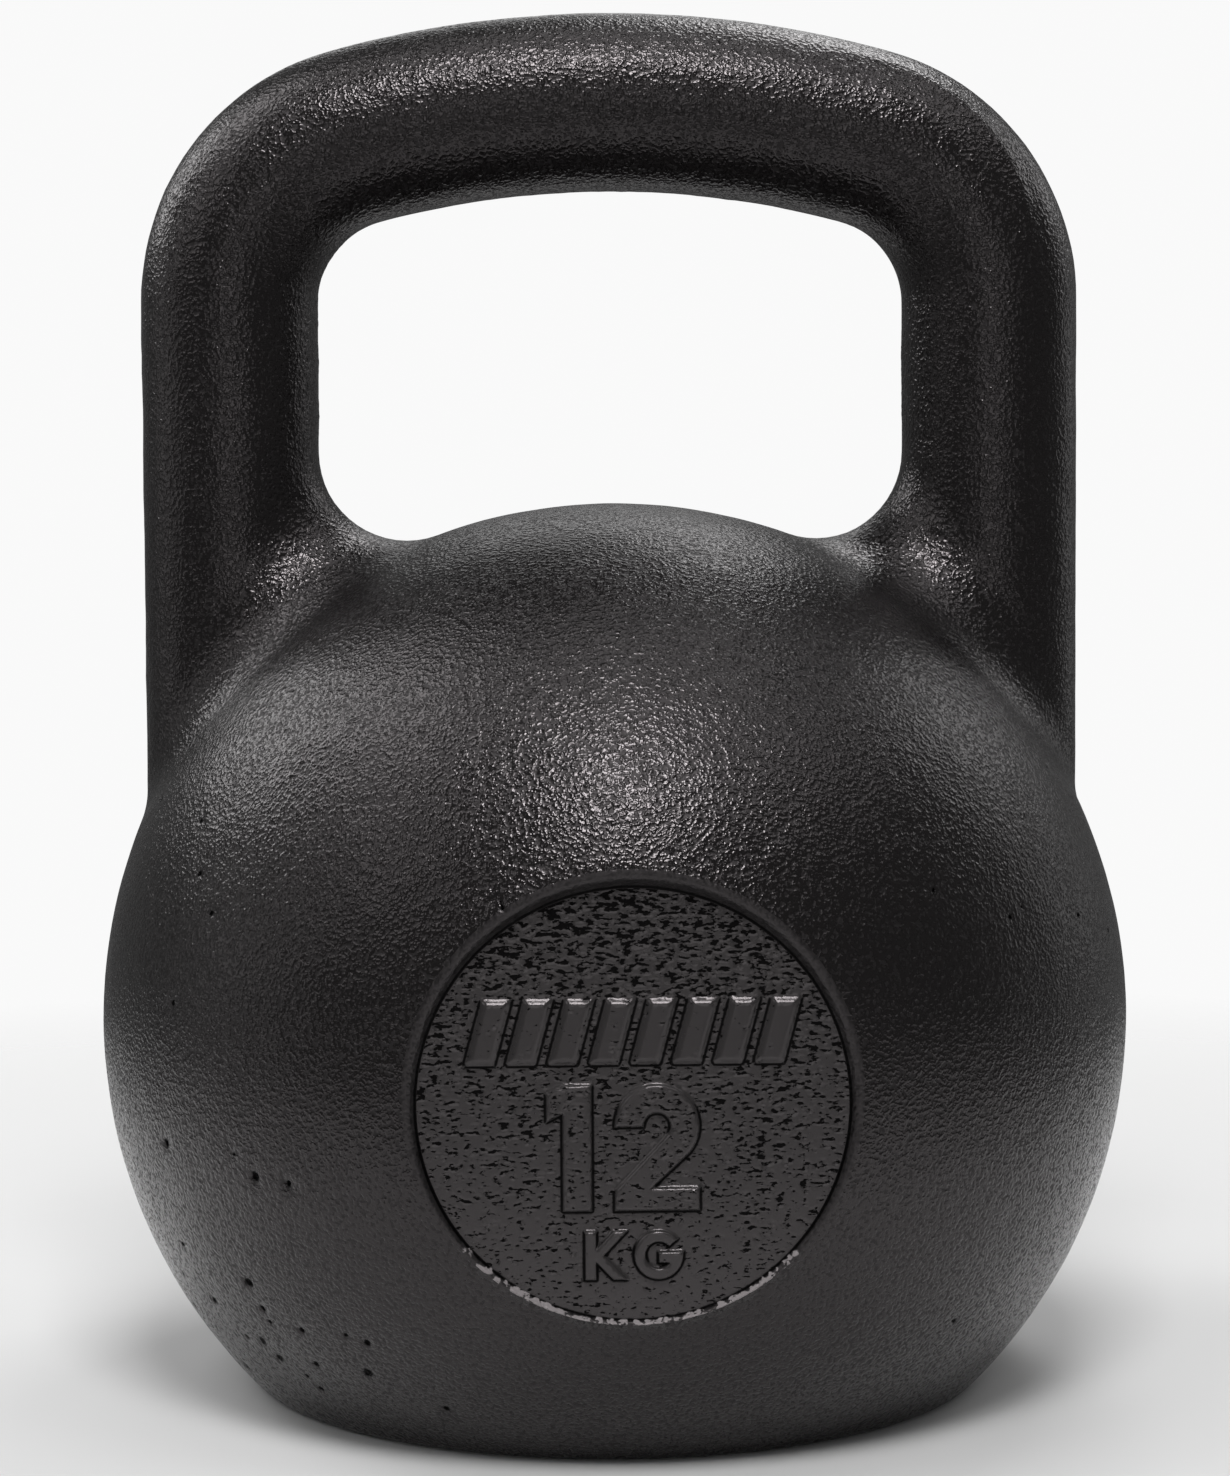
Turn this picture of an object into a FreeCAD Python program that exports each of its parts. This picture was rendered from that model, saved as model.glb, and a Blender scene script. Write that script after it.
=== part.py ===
import FreeCAD, Part
import math
import os

import Sketcher

# A hollow cast iron kettlebell of the one-size kind: a round bell with a flat base, a wide
# upright handle cast in one piece with it, and a sunk round face that carries the weight mark.
# The bell is trimmed to weight with steel shot set in resin, and closed with a screwed plug.
# Millimetres. +Z is up, the origin is the middle of the base, and the marked face looks along -Y.

SIZES = {
    # the ball of the bell
    "ball_radius": 105.0,
    "ball_height": 74.3,
    "base_rounding": 5.0,
    # the handle
    "handle_top": 279.0,
    "bar_diameter": 35.8,
    "horn_offset": 78.0,
    "crown_radius": 199.8,
    "corner_radius": 35.0,
    "horn_foot": 105.0,
    "horn_blend": 18.0,
    # the hollow
    "wall": 9.55,
    "base_wall": 12.0,
    # the sunk face with its marks
    "face_reach": 95.1,
    "face_radius": 39.1,
    "face_height": 70.6,
    "face_draft": 33.0,
    "face_wall": 10.0,
    "face_backing": 44.0,
    "mark_relief": 0.9,
    "mark_offset": -1.9,
    "numeral_foot": -19.1,
    "numeral_height": 22.6,
    "numeral_stroke": 5.0,
    "numeral_gap": 4.3,
    "unit_foot": -31.6,
    "unit_height": 8.8,
    "unit_stroke": 2.0,
    "stripe_foot": 7.6,
    "stripe_height": 11.0,
    "stripe_width": 4.4,
    "stripe_pitch": 7.4,
    "stripe_lean": 3.0,
    # the plug and its seat
    "plug_thread": 30.0,
    "thread_gap": 0.1,
    "plug_head": 40.0,
    "head_height": 5.0,
    "head_sunk": 0.6,
    "plug_length": 19.4,
    "plug_chamfer": 1.0,
    "socket_width": 14.0,
    "socket_depth": 9.0,
    "seat_diameter": 42.0,
    "washer_height": 1.5,
    "washer_bore": 30.6,
    "boss_diameter": 54.0,
    "boss_height": 22.0,
    # the ballast
    "shot_diameter": 9.0,
    "shot_gap": 0.6,
    "shot_clearance": 2.0,
    "resin_depth": 6.0,
}

STRIPES = 8
HEX_SIDES = 6

# Widths of the numerals, in millimetres.
NUMERAL_ONE_WIDTH = 7.9
NUMERAL_TWO_WIDTH = 15.0

# The marks' proportions: shares of the mark's own stroke or height, with angles in degrees.
TWO_BOWL_END = -38.0
TWO_FOOT_THICKNESS = 0.8
TWO_SLANT_ON_FOOT = 1.3
TWO_SLANT_START = 0.7
K_WIDTH = 0.86
K_ARM_WIDTH = 1.25
K_ARM_MEETING = 0.55
G_OPENING = 40.0
G_BAR_RISE = 0.3

doc = FreeCAD.newDocument("Kettlebell")


def make_sheet():
    """The driving dimensions, one named cell each."""
    sheet = doc.addObject("Spreadsheet::Sheet", "Dimensions")
    for row, (name, value) in enumerate(SIZES.items(), start=1):
        sheet.set(f"A{row}", name)
        sheet.set(f"B{row}", str(value))
        sheet.setAlias(f"B{row}", name)
    doc.recompute()
    return sheet


sheet = make_sheet()


def size(name):
    """A dimension as the sheet holds it."""
    return float(sheet.get(name))


def cells(expression):
    """Turn the bare dimension names of an expression into references to the sheet."""
    words = []
    for word in expression.split():
        words.append(f"Dimensions.{word}" if word in SIZES else word)
    return " ".join(words)


def value_of(expression):
    """What an expression of dimension names comes to."""
    result = sheet.evalExpression(cells(expression))
    return float(getattr(result, "Value", result))


# ---------------------------------------------------------------- sketch helpers


def new_body(name):
    body = doc.addObject("PartDesign::Body", name)
    body.Label = name
    return body


def new_sketch(body, name, plane, offset=None):
    """A sketch on one of the body's own origin planes, moved along its normal by an expression."""
    sketch = body.newObject("Sketcher::SketchObject", name)
    origin = next(item for item in body.Origin.OriginFeatures if item.Role == plane)
    sketch.AttachmentSupport = [(origin, "")]
    sketch.MapMode = "FlatFace"
    if offset:
        sketch.setExpression("AttachmentOffset.Base.z", cells(offset))
        doc.recompute()
    return sketch


def bind(sketch, kind, place, expression):
    """Add a driving constraint and tie it to the sheet."""
    reading = value_of(expression)
    index = sketch.addConstraint(Sketcher.Constraint(kind, *place, reading))
    sketch.renameConstraint(index, f"{kind}_{index}")
    sketch.setExpression(f"Constraints.{kind}_{index}", cells(expression))


def place_point(sketch, edge, end, across, up):
    """Hold one end of an edge at a place given by two expressions; None puts it on that axis."""
    if across is None:
        sketch.addConstraint(Sketcher.Constraint("PointOnObject", edge, end, -2))
    else:
        bind(sketch, "DistanceX", (-1, 1, edge, end), across)
    if up is None:
        sketch.addConstraint(Sketcher.Constraint("PointOnObject", edge, end, -1))
    else:
        bind(sketch, "DistanceY", (-1, 1, edge, end), up)


def add_line(sketch, start, end):
    first = FreeCAD.Vector(start[0], start[1], 0)
    last = FreeCAD.Vector(end[0], end[1], 0)
    return sketch.addGeometry(Part.LineSegment(first, last), False)


def add_arc(sketch, centre, radius, start, end):
    """An arc turned anticlockwise from one angle in degrees to the other."""
    circle = Part.Circle(FreeCAD.Vector(centre[0], centre[1], 0), FreeCAD.Vector(0, 0, 1), radius)
    return sketch.addGeometry(Part.ArcOfCircle(circle, math.radians(start), math.radians(end)), False)


def join(sketch, first, first_end, second, second_end, kind="Coincident"):
    sketch.addConstraint(Sketcher.Constraint(kind, first, first_end, second, second_end))


def draw_polygon(sketch, corners):
    """A closed outline of straight edges whose corners are pairs of expressions."""
    places = [
        (value_of(across) if across else 0.0, value_of(up) if up else 0.0) for across, up in corners
    ]
    edges = [add_line(sketch, start, end) for start, end in zip(places, places[1:] + places[:1])]
    for edge, after in zip(edges, edges[1:] + edges[:1]):
        join(sketch, edge, 2, after, 1)
    for edge, (across, up) in zip(edges, corners):
        place_point(sketch, edge, 1, across, up)
    return edges


def draw_circle(sketch, diameter, across=None, up=None):
    centre = FreeCAD.Vector(value_of(across) if across else 0.0, value_of(up) if up else 0.0, 0)
    circle = Part.Circle(centre, FreeCAD.Vector(0, 0, 1), value_of(diameter) / 2)
    index = sketch.addGeometry(circle, False)
    bind(sketch, "Diameter", (index,), diameter)
    place_point(sketch, index, 3, across, up)
    return index


def turn(body, kind, name, sketch):
    """Turn a sketch of the front plane once round the vertical axis, adding or cutting."""
    feature = body.newObject(kind, name)
    feature.Profile = sketch
    feature.ReferenceAxis = (sketch, ["V_Axis"])
    feature.Angle = 360
    sketch.Visibility = False
    doc.recompute()
    return feature


# ---------------------------------------------------------------- the bell casting


def add_ball(body):
    """The ball, cut off flat at the base."""
    sketch = new_sketch(body, "BallOutline", "XZ_Plane")
    radius = size("ball_radius")
    height = size("ball_height")
    flat = math.sqrt(radius**2 - height**2)
    top = add_line(sketch, (0, 0), (0, height + radius))
    base = add_line(sketch, (flat, 0), (0, 0))
    round_side = add_arc(sketch, (0, height), radius, -math.degrees(math.asin(height / radius)), 90)
    join(sketch, base, 2, top, 1)
    join(sketch, round_side, 1, base, 1)
    join(sketch, round_side, 2, top, 2)
    join(sketch, top, 1, -1, 1)
    sketch.addConstraint(Sketcher.Constraint("Vertical", top))
    sketch.addConstraint(Sketcher.Constraint("Horizontal", base))
    bind(sketch, "Radius", (round_side,), "ball_radius")
    place_point(sketch, round_side, 3, None, "ball_height")
    return turn(body, "PartDesign::Revolution", "Ball", sketch)


def add_base_rounding(body, ball):
    """Round the edge between the ball and the base."""
    edge = next(
        index
        for index, edge in enumerate(ball.Shape.Edges, start=1)
        if edge.BoundBox.ZMax < 1 and edge.BoundBox.XLength > size("ball_radius")
    )
    rounding = body.newObject("PartDesign::Fillet", "BaseRounding")
    rounding.Base = (ball, [f"Edge{edge}"])
    rounding.setExpression("Radius", cells("base_rounding"))
    doc.recompute()


def handle_path(body):
    """Up one horn, round a corner, over the crown and down the other side."""
    sketch = new_sketch(body, "HandlePath", "XZ_Plane")
    offset = size("horn_offset")
    corner = size("corner_radius")
    crown = size("crown_radius")
    crown_centre = size("handle_top") - size("bar_diameter") / 2 - crown
    inset = offset - corner
    shoulder = crown_centre + math.sqrt((crown - corner) ** 2 - inset**2)
    lean = math.degrees(math.asin(inset / (crown - corner)))
    foot = size("horn_foot")
    left = add_line(sketch, (-offset, foot), (-offset, shoulder))
    left_corner = add_arc(sketch, (-inset, shoulder), corner, 90 + lean, 180)
    over = add_arc(sketch, (0, crown_centre), crown, 90 - lean, 90 + lean)
    right_corner = add_arc(sketch, (inset, shoulder), corner, 0, 90 - lean)
    right = add_line(sketch, (offset, shoulder), (offset, foot))
    join(sketch, left, 2, left_corner, 2, "Tangent")
    join(sketch, left_corner, 1, over, 2, "Tangent")
    join(sketch, over, 1, right_corner, 2, "Tangent")
    join(sketch, right_corner, 1, right, 1, "Tangent")
    for corner_arc in (left_corner, right_corner):
        bind(sketch, "Radius", (corner_arc,), "corner_radius")
    bind(sketch, "Radius", (over,), "crown_radius")
    place_point(sketch, over, 3, None, "handle_top - bar_diameter / 2 - crown_radius")
    place_point(sketch, left, 1, "-1 * horn_offset", "horn_foot")
    place_point(sketch, right, 2, "horn_offset", "horn_foot")
    return sketch


def add_handle(body):
    """A round bar swept along the handle path."""
    path = handle_path(body)
    section = new_sketch(body, "BarSection", "XY_Plane", "horn_foot")
    draw_circle(section, "bar_diameter", across="-1 * horn_offset")
    doc.recompute()
    handle = body.newObject("PartDesign::AdditivePipe", "Handle")
    handle.Profile = section
    handle.Spine = (path, [f"Edge{index}" for index in range(1, len(path.Shape.Edges) + 1)])
    section.Visibility = False
    path.Visibility = False
    doc.recompute()
    return handle


def add_horn_blends(body, handle):
    """Fill the creases where the horns run into the ball."""
    radius = size("ball_radius")
    centre = FreeCAD.Vector(0, 0, size("ball_height"))
    creases = []
    for index, edge in enumerate(handle.Shape.Edges, start=1):
        points = [edge.valueAt(edge.FirstParameter), edge.valueAt(edge.LastParameter)]
        on_ball = all(abs(point.distanceToPoint(centre) - radius) < 0.1 for point in points)
        if on_ball and edge.BoundBox.ZMin > size("horn_foot"):
            outer = max(abs(edge.BoundBox.XMin), abs(edge.BoundBox.XMax))
            if outer > size("horn_offset") / 2 and edge.BoundBox.XLength < size("bar_diameter") + 1:
                creases.append(f"Edge{index}")
    blends = body.newObject("PartDesign::Fillet", "HornBlends")
    blends.Base = (handle, creases)
    blends.setExpression("Radius", cells("horn_blend"))
    doc.recompute()
    return blends


def cut_hollow(body):
    """The core's space: round above, flat below, with a boss left standing for the plug."""
    sketch = new_sketch(body, "HollowOutline", "XZ_Plane")
    inner = size("ball_radius") - size("wall")
    height = size("ball_height")
    floor = size("base_wall")
    rise = height - floor
    reach = math.sqrt(inner**2 - rise**2)
    boss = size("boss_diameter") / 2
    boss_top = size("boss_height")
    side = add_arc(sketch, (0, height), inner, -math.degrees(math.asin(rise / inner)), 90)
    ledge = add_line(sketch, (reach, floor), (boss, floor))
    boss_side = add_line(sketch, (boss, floor), (boss, boss_top))
    boss_face = add_line(sketch, (boss, boss_top), (0, boss_top))
    middle = add_line(sketch, (0, boss_top), (0, height + inner))
    join(sketch, side, 1, ledge, 1)
    join(sketch, ledge, 2, boss_side, 1)
    join(sketch, boss_side, 2, boss_face, 1)
    join(sketch, boss_face, 2, middle, 1)
    join(sketch, middle, 2, side, 2)
    bind(sketch, "Radius", (side,), "ball_radius - wall")
    place_point(sketch, side, 3, None, "ball_height")
    sketch.addConstraint(Sketcher.Constraint("Horizontal", ledge))
    place_point(sketch, boss_side, 1, "boss_diameter / 2", "base_wall")
    place_point(sketch, boss_side, 2, "boss_diameter / 2", "boss_height")
    place_point(sketch, middle, 1, None, "boss_height")
    sketch.addConstraint(Sketcher.Constraint("Vertical", middle))
    return turn(body, "PartDesign::Groove", "Hollow", sketch)


def add_face_backing(body):
    """Keep the full wall behind the sunk face, where the core is flattened."""
    sketch = new_sketch(body, "BackingOutline", "XZ_Plane", "face_reach - face_wall")
    draw_circle(sketch, "2 * face_backing", up="ball_height")
    backing = body.newObject("PartDesign::Pad", "FaceBacking")
    backing.Profile = sketch
    backing.setExpression("Length", cells("face_wall"))
    sketch.Visibility = False
    doc.recompute()


def cut_face(body):
    """The round face, sunk into the ball with a sloping wall."""
    sketch = new_sketch(body, "FaceOutline", "XZ_Plane", "face_reach")
    draw_circle(sketch, "2 * face_radius", up="face_height")
    face = body.newObject("PartDesign::Pocket", "SunkFace")
    face.Profile = sketch
    face.setExpression("Length", cells("ball_radius - face_reach"))
    face.setExpression("TaperAngle", cells("face_draft"))
    face.Reversed = True
    sketch.Visibility = False
    doc.recompute()


def cut_plug_seat(body):
    """The threaded hole through the boss and the wider seat for the plug's head."""
    sketch = new_sketch(body, "SeatOutline", "XZ_Plane")
    seat_top = "head_sunk + head_height + washer_height"
    draw_polygon(
        sketch,
        [
            (None, None),
            ("seat_diameter / 2", None),
            ("seat_diameter / 2", seat_top),
            ("plug_thread / 2", seat_top),
            ("plug_thread / 2", "boss_height"),
            (None, "boss_height"),
        ],
    )
    return turn(body, "PartDesign::Groove", "PlugSeat", sketch)


# ---------------------------------------------------------------- the raised marks


def hold(sketch):
    """Fix a drawn mark as it stands."""
    for index in range(sketch.GeometryCount):
        sketch.addConstraint(Sketcher.Constraint("Block", index))


def raise_mark(body, name, edges):
    """Stand one mark out from the sunk face. Its edges are drawn about the face's centre."""
    sketch = new_sketch(body, f"{name}Outline", "XZ_Plane", "face_reach")
    sketch.setExpression("AttachmentOffset.Base.x", cells("mark_offset"))
    sketch.setExpression("AttachmentOffset.Base.y", cells("face_height"))
    for edge in edges:
        sketch.addGeometry(edge, False)
    hold(sketch)
    mark = body.newObject("PartDesign::Pad", name)
    mark.Profile = sketch
    mark.setExpression("Length", cells("mark_relief"))
    sketch.Visibility = False
    doc.recompute()


def straight_edges(corners):
    """The edges of a closed outline with straight sides."""
    points = [FreeCAD.Vector(x, y, 0) for x, y in corners]
    return [Part.LineSegment(start, end) for start, end in zip(points, points[1:] + points[:1])]


def numeral_one(left, foot):
    """A stem with a short flag."""
    height = size("numeral_height")
    stroke = size("numeral_stroke")
    right = left + NUMERAL_ONE_WIDTH
    top = foot + height
    flag = NUMERAL_ONE_WIDTH - stroke
    return straight_edges(
        [
            (right, foot),
            (right, top),
            (right - stroke, top),
            (left, top - flag / 2),
            (left, top - flag / 2 - stroke),
            (right - stroke, top - stroke),
            (right - stroke, foot),
        ]
    )


def numeral_two(left, foot):
    """A bowl of two arcs, a slanting stroke and a flat foot."""
    height = size("numeral_height")
    stroke = size("numeral_stroke")
    outer = NUMERAL_TWO_WIDTH / 2
    inner = outer - stroke
    bar = TWO_FOOT_THICKNESS * stroke
    centre = FreeCAD.Vector(left + outer, foot + height - outer, 0)
    lean = math.radians(TWO_BOWL_END)
    up = FreeCAD.Vector(0, 0, 1)

    def on_bowl(radius, angle):
        return centre + FreeCAD.Vector(radius * math.cos(angle), radius * math.sin(angle), 0)

    outer_bowl = Part.ArcOfCircle(Part.Circle(centre, up, outer), lean, math.pi)
    inner_bowl = Part.ArcOfCircle(Part.Circle(centre, up, inner), lean, math.pi)
    right = left + NUMERAL_TWO_WIDTH
    points = [
        on_bowl(outer, lean),
        FreeCAD.Vector(left + TWO_SLANT_ON_FOOT * stroke, foot + bar, 0),
        FreeCAD.Vector(right, foot + bar, 0),
        FreeCAD.Vector(right, foot, 0),
        FreeCAD.Vector(left, foot, 0),
        FreeCAD.Vector(left, foot + TWO_SLANT_START * stroke, 0),
        on_bowl(inner, lean),
    ]
    edges = [Part.LineSegment(start, end) for start, end in zip(points, points[1:])]
    cap = Part.LineSegment(on_bowl(outer, math.pi), on_bowl(inner, math.pi))
    return edges + [outer_bowl, inner_bowl, cap]


def letter_k(left, foot):
    """A stem and two slanting arms that meet at its middle."""
    height = size("unit_height")
    stroke = size("unit_stroke")
    top = foot + height
    middle = foot + height / 2
    stem = left + stroke
    tip = left + K_WIDTH * height
    arm = K_ARM_WIDTH * stroke
    return straight_edges(
        [
            (left, foot),
            (stem, foot),
            (stem, middle - arm / 2),
            (tip - arm, foot),
            (tip, foot),
            (stem + K_ARM_MEETING * arm, middle),
            (tip, top),
            (tip - arm, top),
            (stem, middle + arm / 2),
            (stem, top),
            (left, top),
        ]
    )


def letter_g(left, foot):
    """An open ring with a short bar turned into its middle."""
    outer = size("unit_height") / 2
    stroke = size("unit_stroke")
    inner = outer - stroke
    centre = FreeCAD.Vector(left + outer, foot + outer, 0)
    up = FreeCAD.Vector(0, 0, 1)
    opening = math.radians(G_OPENING)
    bar_top = G_BAR_RISE * stroke
    bar_foot = bar_top - stroke
    outer_end = math.asin(bar_top / outer)
    inner_end = math.asin(bar_foot / inner)
    outer_ring = Part.ArcOfCircle(Part.Circle(centre, up, outer), opening, 2 * math.pi + outer_end)
    inner_ring = Part.ArcOfCircle(Part.Circle(centre, up, inner), opening, 2 * math.pi + inner_end)
    points = [
        outer_ring.EndPoint,
        centre + FreeCAD.Vector(0, bar_top, 0),
        centre + FreeCAD.Vector(0, bar_foot, 0),
        inner_ring.EndPoint,
    ]
    edges = [Part.LineSegment(start, end) for start, end in zip(points, points[1:])]
    tip = Part.LineSegment(outer_ring.StartPoint, inner_ring.StartPoint)
    return edges + [outer_ring, inner_ring, tip]


def stripe(middle, foot):
    """One leaning bar of the plain row above the numerals."""
    half = size("stripe_width") / 2
    lean = size("stripe_lean") / 2
    top = foot + size("stripe_height")
    return straight_edges(
        [
            (middle - lean - half, foot),
            (middle - lean + half, foot),
            (middle + lean + half, top),
            (middle + lean - half, top),
        ]
    )


def add_marks(body):
    """The numerals, the unit under them and a plain row of leaning stripes above."""
    gap = size("numeral_gap")
    width = NUMERAL_ONE_WIDTH + gap + NUMERAL_TWO_WIDTH
    foot = size("numeral_foot")
    raise_mark(body, "NumeralOne", numeral_one(-width / 2, foot))
    raise_mark(body, "NumeralTwo", numeral_two(width / 2 - NUMERAL_TWO_WIDTH, foot))
    unit_foot = size("unit_foot")
    unit_middle = -size("mark_offset")
    raise_mark(body, "LetterK", letter_k(unit_middle - size("unit_height"), unit_foot))
    raise_mark(body, "LetterG", letter_g(unit_middle, unit_foot))
    for index in range(STRIPES):
        middle = unit_middle + (index - (STRIPES - 1) / 2) * size("stripe_pitch")
        raise_mark(body, f"Stripe{index + 1}", stripe(middle, size("stripe_foot")))


def make_bell_casting():
    """The one iron casting: ball, handle, sunk face with its marks, hollow and plug seat."""
    body = new_body("bell_casting")
    ball = add_ball(body)
    add_base_rounding(body, ball)
    handle = add_handle(body)
    add_horn_blends(body, handle)
    cut_hollow(body)
    add_face_backing(body)
    cut_face(body)
    cut_plug_seat(body)
    add_marks(body)
    return body


# ---------------------------------------------------------------- the plug


def make_base_plug():
    """A turned steel screw plug with a hexagonal socket, its head just inside the base."""
    body = new_body("base_plug")
    sketch = new_sketch(body, "PlugOutline", "XZ_Plane")
    shank = "plug_thread / 2 - thread_gap"
    head_top = "head_sunk + head_height"
    draw_polygon(
        sketch,
        [
            (None, "head_sunk"),
            ("plug_head / 2 - plug_chamfer", "head_sunk"),
            ("plug_head / 2", "head_sunk + plug_chamfer"),
            ("plug_head / 2", head_top),
            (shank, head_top),
            (shank, "head_sunk + plug_length - plug_chamfer"),
            (f"{shank} - plug_chamfer", "head_sunk + plug_length"),
            (None, "head_sunk + plug_length"),
        ],
    )
    turn(body, "PartDesign::Revolution", "Plug", sketch)
    socket_outline = new_sketch(body, "SocketOutline", "XY_Plane", "head_sunk")
    corner = size("socket_width") / math.sqrt(3)
    turns = [math.radians(360 / HEX_SIDES * index) for index in range(HEX_SIDES)]
    corners = [(corner * math.cos(angle), corner * math.sin(angle)) for angle in turns]
    for edge in straight_edges(corners):
        socket_outline.addGeometry(edge, False)
    hold(socket_outline)
    socket = body.newObject("PartDesign::Pocket", "Socket")
    socket.Profile = socket_outline
    socket.setExpression("Length", cells("socket_depth"))
    socket.Reversed = True
    socket_outline.Visibility = False
    doc.recompute()
    return body


def make_plug_washer():
    """A flat fibre sealing washer between the plug's head and its seat."""
    body = new_body("plug_washer")
    outline = new_sketch(body, "WasherOutline", "XY_Plane", "head_sunk + head_height")
    draw_circle(outline, "plug_head")
    draw_circle(outline, "washer_bore")
    washer = body.newObject("PartDesign::Pad", "Washer")
    washer.Profile = outline
    washer.setExpression("Length", cells("washer_height"))
    outline.Visibility = False
    doc.recompute()
    return body


# ---------------------------------------------------------------- the ballast


def shot_places():
    """Where the shot lies: rings of balls on the floor of the hollow, round the boss."""
    diameter = size("shot_diameter")
    pitch = diameter + size("shot_gap")
    inner = size("ball_radius") - size("wall")
    floor = size("base_wall")
    middle = floor + diameter / 2
    across = math.sqrt((inner - diameter / 2) ** 2 - (size("ball_height") - middle) ** 2)
    outermost = across - size("shot_clearance")
    ring = size("boss_diameter") / 2 + diameter / 2 + size("shot_clearance")
    places = []
    while ring <= outermost:
        count = int(2 * math.pi * ring / pitch)
        for index in range(count):
            angle = 2 * math.pi * index / count
            places.append(FreeCAD.Vector(ring * math.cos(angle), ring * math.sin(angle), middle))
        ring += pitch
    return places


def make_ballast_shot():
    """Loose steel balls that bring the bell up to its marked weight."""
    radius = size("shot_diameter") / 2
    balls = [Part.makeSphere(radius, place) for place in shot_places()]
    shot = doc.addObject("Part::Feature", "ballast_shot")
    shot.Label = "ballast_shot"
    shot.Shape = Part.Compound(balls)
    shot.Placement = FreeCAD.Placement()
    return shot


def make_ballast_resin(shot):
    """Resin poured round the lower half of the shot so that nothing rattles."""
    inner = size("ball_radius") - size("wall")
    floor = size("base_wall")
    depth = size("resin_depth")
    core = Part.makeSphere(inner, FreeCAD.Vector(0, 0, size("ball_height")))
    layer = Part.makeCylinder(inner, depth, FreeCAD.Vector(0, 0, floor))
    boss = Part.makeCylinder(size("boss_diameter") / 2, depth, FreeCAD.Vector(0, 0, floor))
    resin = doc.addObject("Part::Feature", "ballast_resin")
    resin.Label = "ballast_resin"
    resin.Shape = layer.common(core).cut(boss).cut(shot.Shape)
    resin.Placement = FreeCAD.Placement()
    return resin


# ---------------------------------------------------------------- build, test and write


def check(document):
    """Stop if any feature failed or any shape isn't sound."""
    for item in document.Objects:
        if {"Invalid", "Error"} & set(item.State):
            raise RuntimeError(f"{item.Name} failed: {item.State}")
        shape = getattr(item, "Shape", None)
        if shape is not None and (shape.isNull() or not shape.isValid()):
            raise RuntimeError(f"{item.Name} has no sound shape")


def write(pieces):
    os.makedirs("parts", exist_ok=True)
    for piece in pieces:
        piece.Shape.exportStep(f"parts/{piece.Label}.step")
        print(piece.Label, len(piece.Shape.Solids), "solids", round(piece.Shape.Volume), "mm3")


pieces = [make_bell_casting(), make_base_plug(), make_plug_washer(), make_ballast_shot()]
pieces.append(make_ballast_resin(pieces[-1]))
doc.recompute()
check(doc)
write(pieces)
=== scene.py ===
import math
import random

import bmesh
import bpy
import numpy as np
from mathutils import Matrix, Vector, noise
from mathutils.geometry import delaunay_2d_cdt
from mathutils.kdtree import KDTree


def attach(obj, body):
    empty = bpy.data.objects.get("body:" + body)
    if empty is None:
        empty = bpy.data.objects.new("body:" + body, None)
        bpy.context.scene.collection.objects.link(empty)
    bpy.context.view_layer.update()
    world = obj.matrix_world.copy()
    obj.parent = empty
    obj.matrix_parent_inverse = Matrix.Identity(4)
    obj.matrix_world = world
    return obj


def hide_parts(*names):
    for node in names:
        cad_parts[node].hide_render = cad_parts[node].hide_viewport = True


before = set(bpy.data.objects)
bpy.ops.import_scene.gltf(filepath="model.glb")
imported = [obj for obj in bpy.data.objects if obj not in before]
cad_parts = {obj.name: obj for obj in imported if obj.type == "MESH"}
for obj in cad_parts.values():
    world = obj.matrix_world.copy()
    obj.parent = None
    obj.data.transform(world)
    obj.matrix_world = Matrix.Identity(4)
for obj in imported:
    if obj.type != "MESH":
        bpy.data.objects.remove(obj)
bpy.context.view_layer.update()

MM = 0.001

# Sizes of the casting, as the drawing has them.
BALL_RADIUS = 105.0 * MM
BALL_HEIGHT = 74.3 * MM
BASE_ROUNDING = 5.0 * MM
HANDLE_TOP = 279.0 * MM
BAR_RADIUS = 17.9 * MM
HORN_OFFSET = 78.0 * MM
CROWN_RADIUS = 199.8 * MM
CORNER_RADIUS = 35.0 * MM
HORN_BLEND = 18.0 * MM
WALL = 9.55 * MM
BASE_WALL = 12.0 * MM
FACE_REACH = 95.1 * MM
FACE_RADIUS = 39.1 * MM
FACE_HEIGHT = 70.6 * MM
FACE_DRAFT = math.radians(33.0)
FACE_WALL = 10.0 * MM
SEAT_RADIUS = 21.0 * MM
SEAT_DEPTH = 7.1 * MM
THREAD_RADIUS = 15.0 * MM
BOSS_RADIUS = 27.0 * MM
BOSS_HEIGHT = 22.0 * MM

# How finely the skin of the casting is divided.
BAR_SIDES = 96
BAR_ROW = 1.7 * MM
BLEND_ROWS = 16
BALL_POINT_SPACING = 2.05 * MM
RIM_STEPS = 480
FACE_POINT_SPACING = 0.45 * MM
TURN_STEPS = 192

BALL_CENTRE = np.array([0.0, 0.0, BALL_HEIGHT])

# The crinkled paint: size of its lumps, how far they are drawn out sideways, where they turn
# into pocks on a scale from 0 to 1, and how much that level changes from mid-face to the edge.
CRINKLE_SIZE = 0.68 * MM
CRINKLE_STRETCH = 2.2
CRINKLE_LEVEL = 0.43
CRINKLE_SLOPE = 0.055
CALM_RISE = 0.13

# The slow waves and ripples of a sand casting's skin, and how deep the pocks of the crinkled paint go.
WAVE_HEIGHT = 0.16 * MM
WAVE_SIZE = 16 * MM
RIPPLE_HEIGHT = 0.05 * MM
RIPPLE_SIZE = 5 * MM
CRINKLE_DEPTH = 0.22 * MM

# The edge round the sunk face: how far its upper corner and its foot are rounded.
LIP = 1.3 * MM
TOE = 0.4 * MM

# The ragged burr of paint low on the rim, with a painted highlight along it: its height, the width of
# the painted highlight, its grain as a share of the rim's radius, and how the highlight's line wanders
# outside the floor's edge, in millimetres.
BURR_LIFT = 0.9 * MM
BURR_HIGHLIGHT_WIDTH = 0.6 * MM
BURR_GRAIN = 0.03
BURR_LINE = 0.7
BURR_WANDER = 0.9

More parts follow.
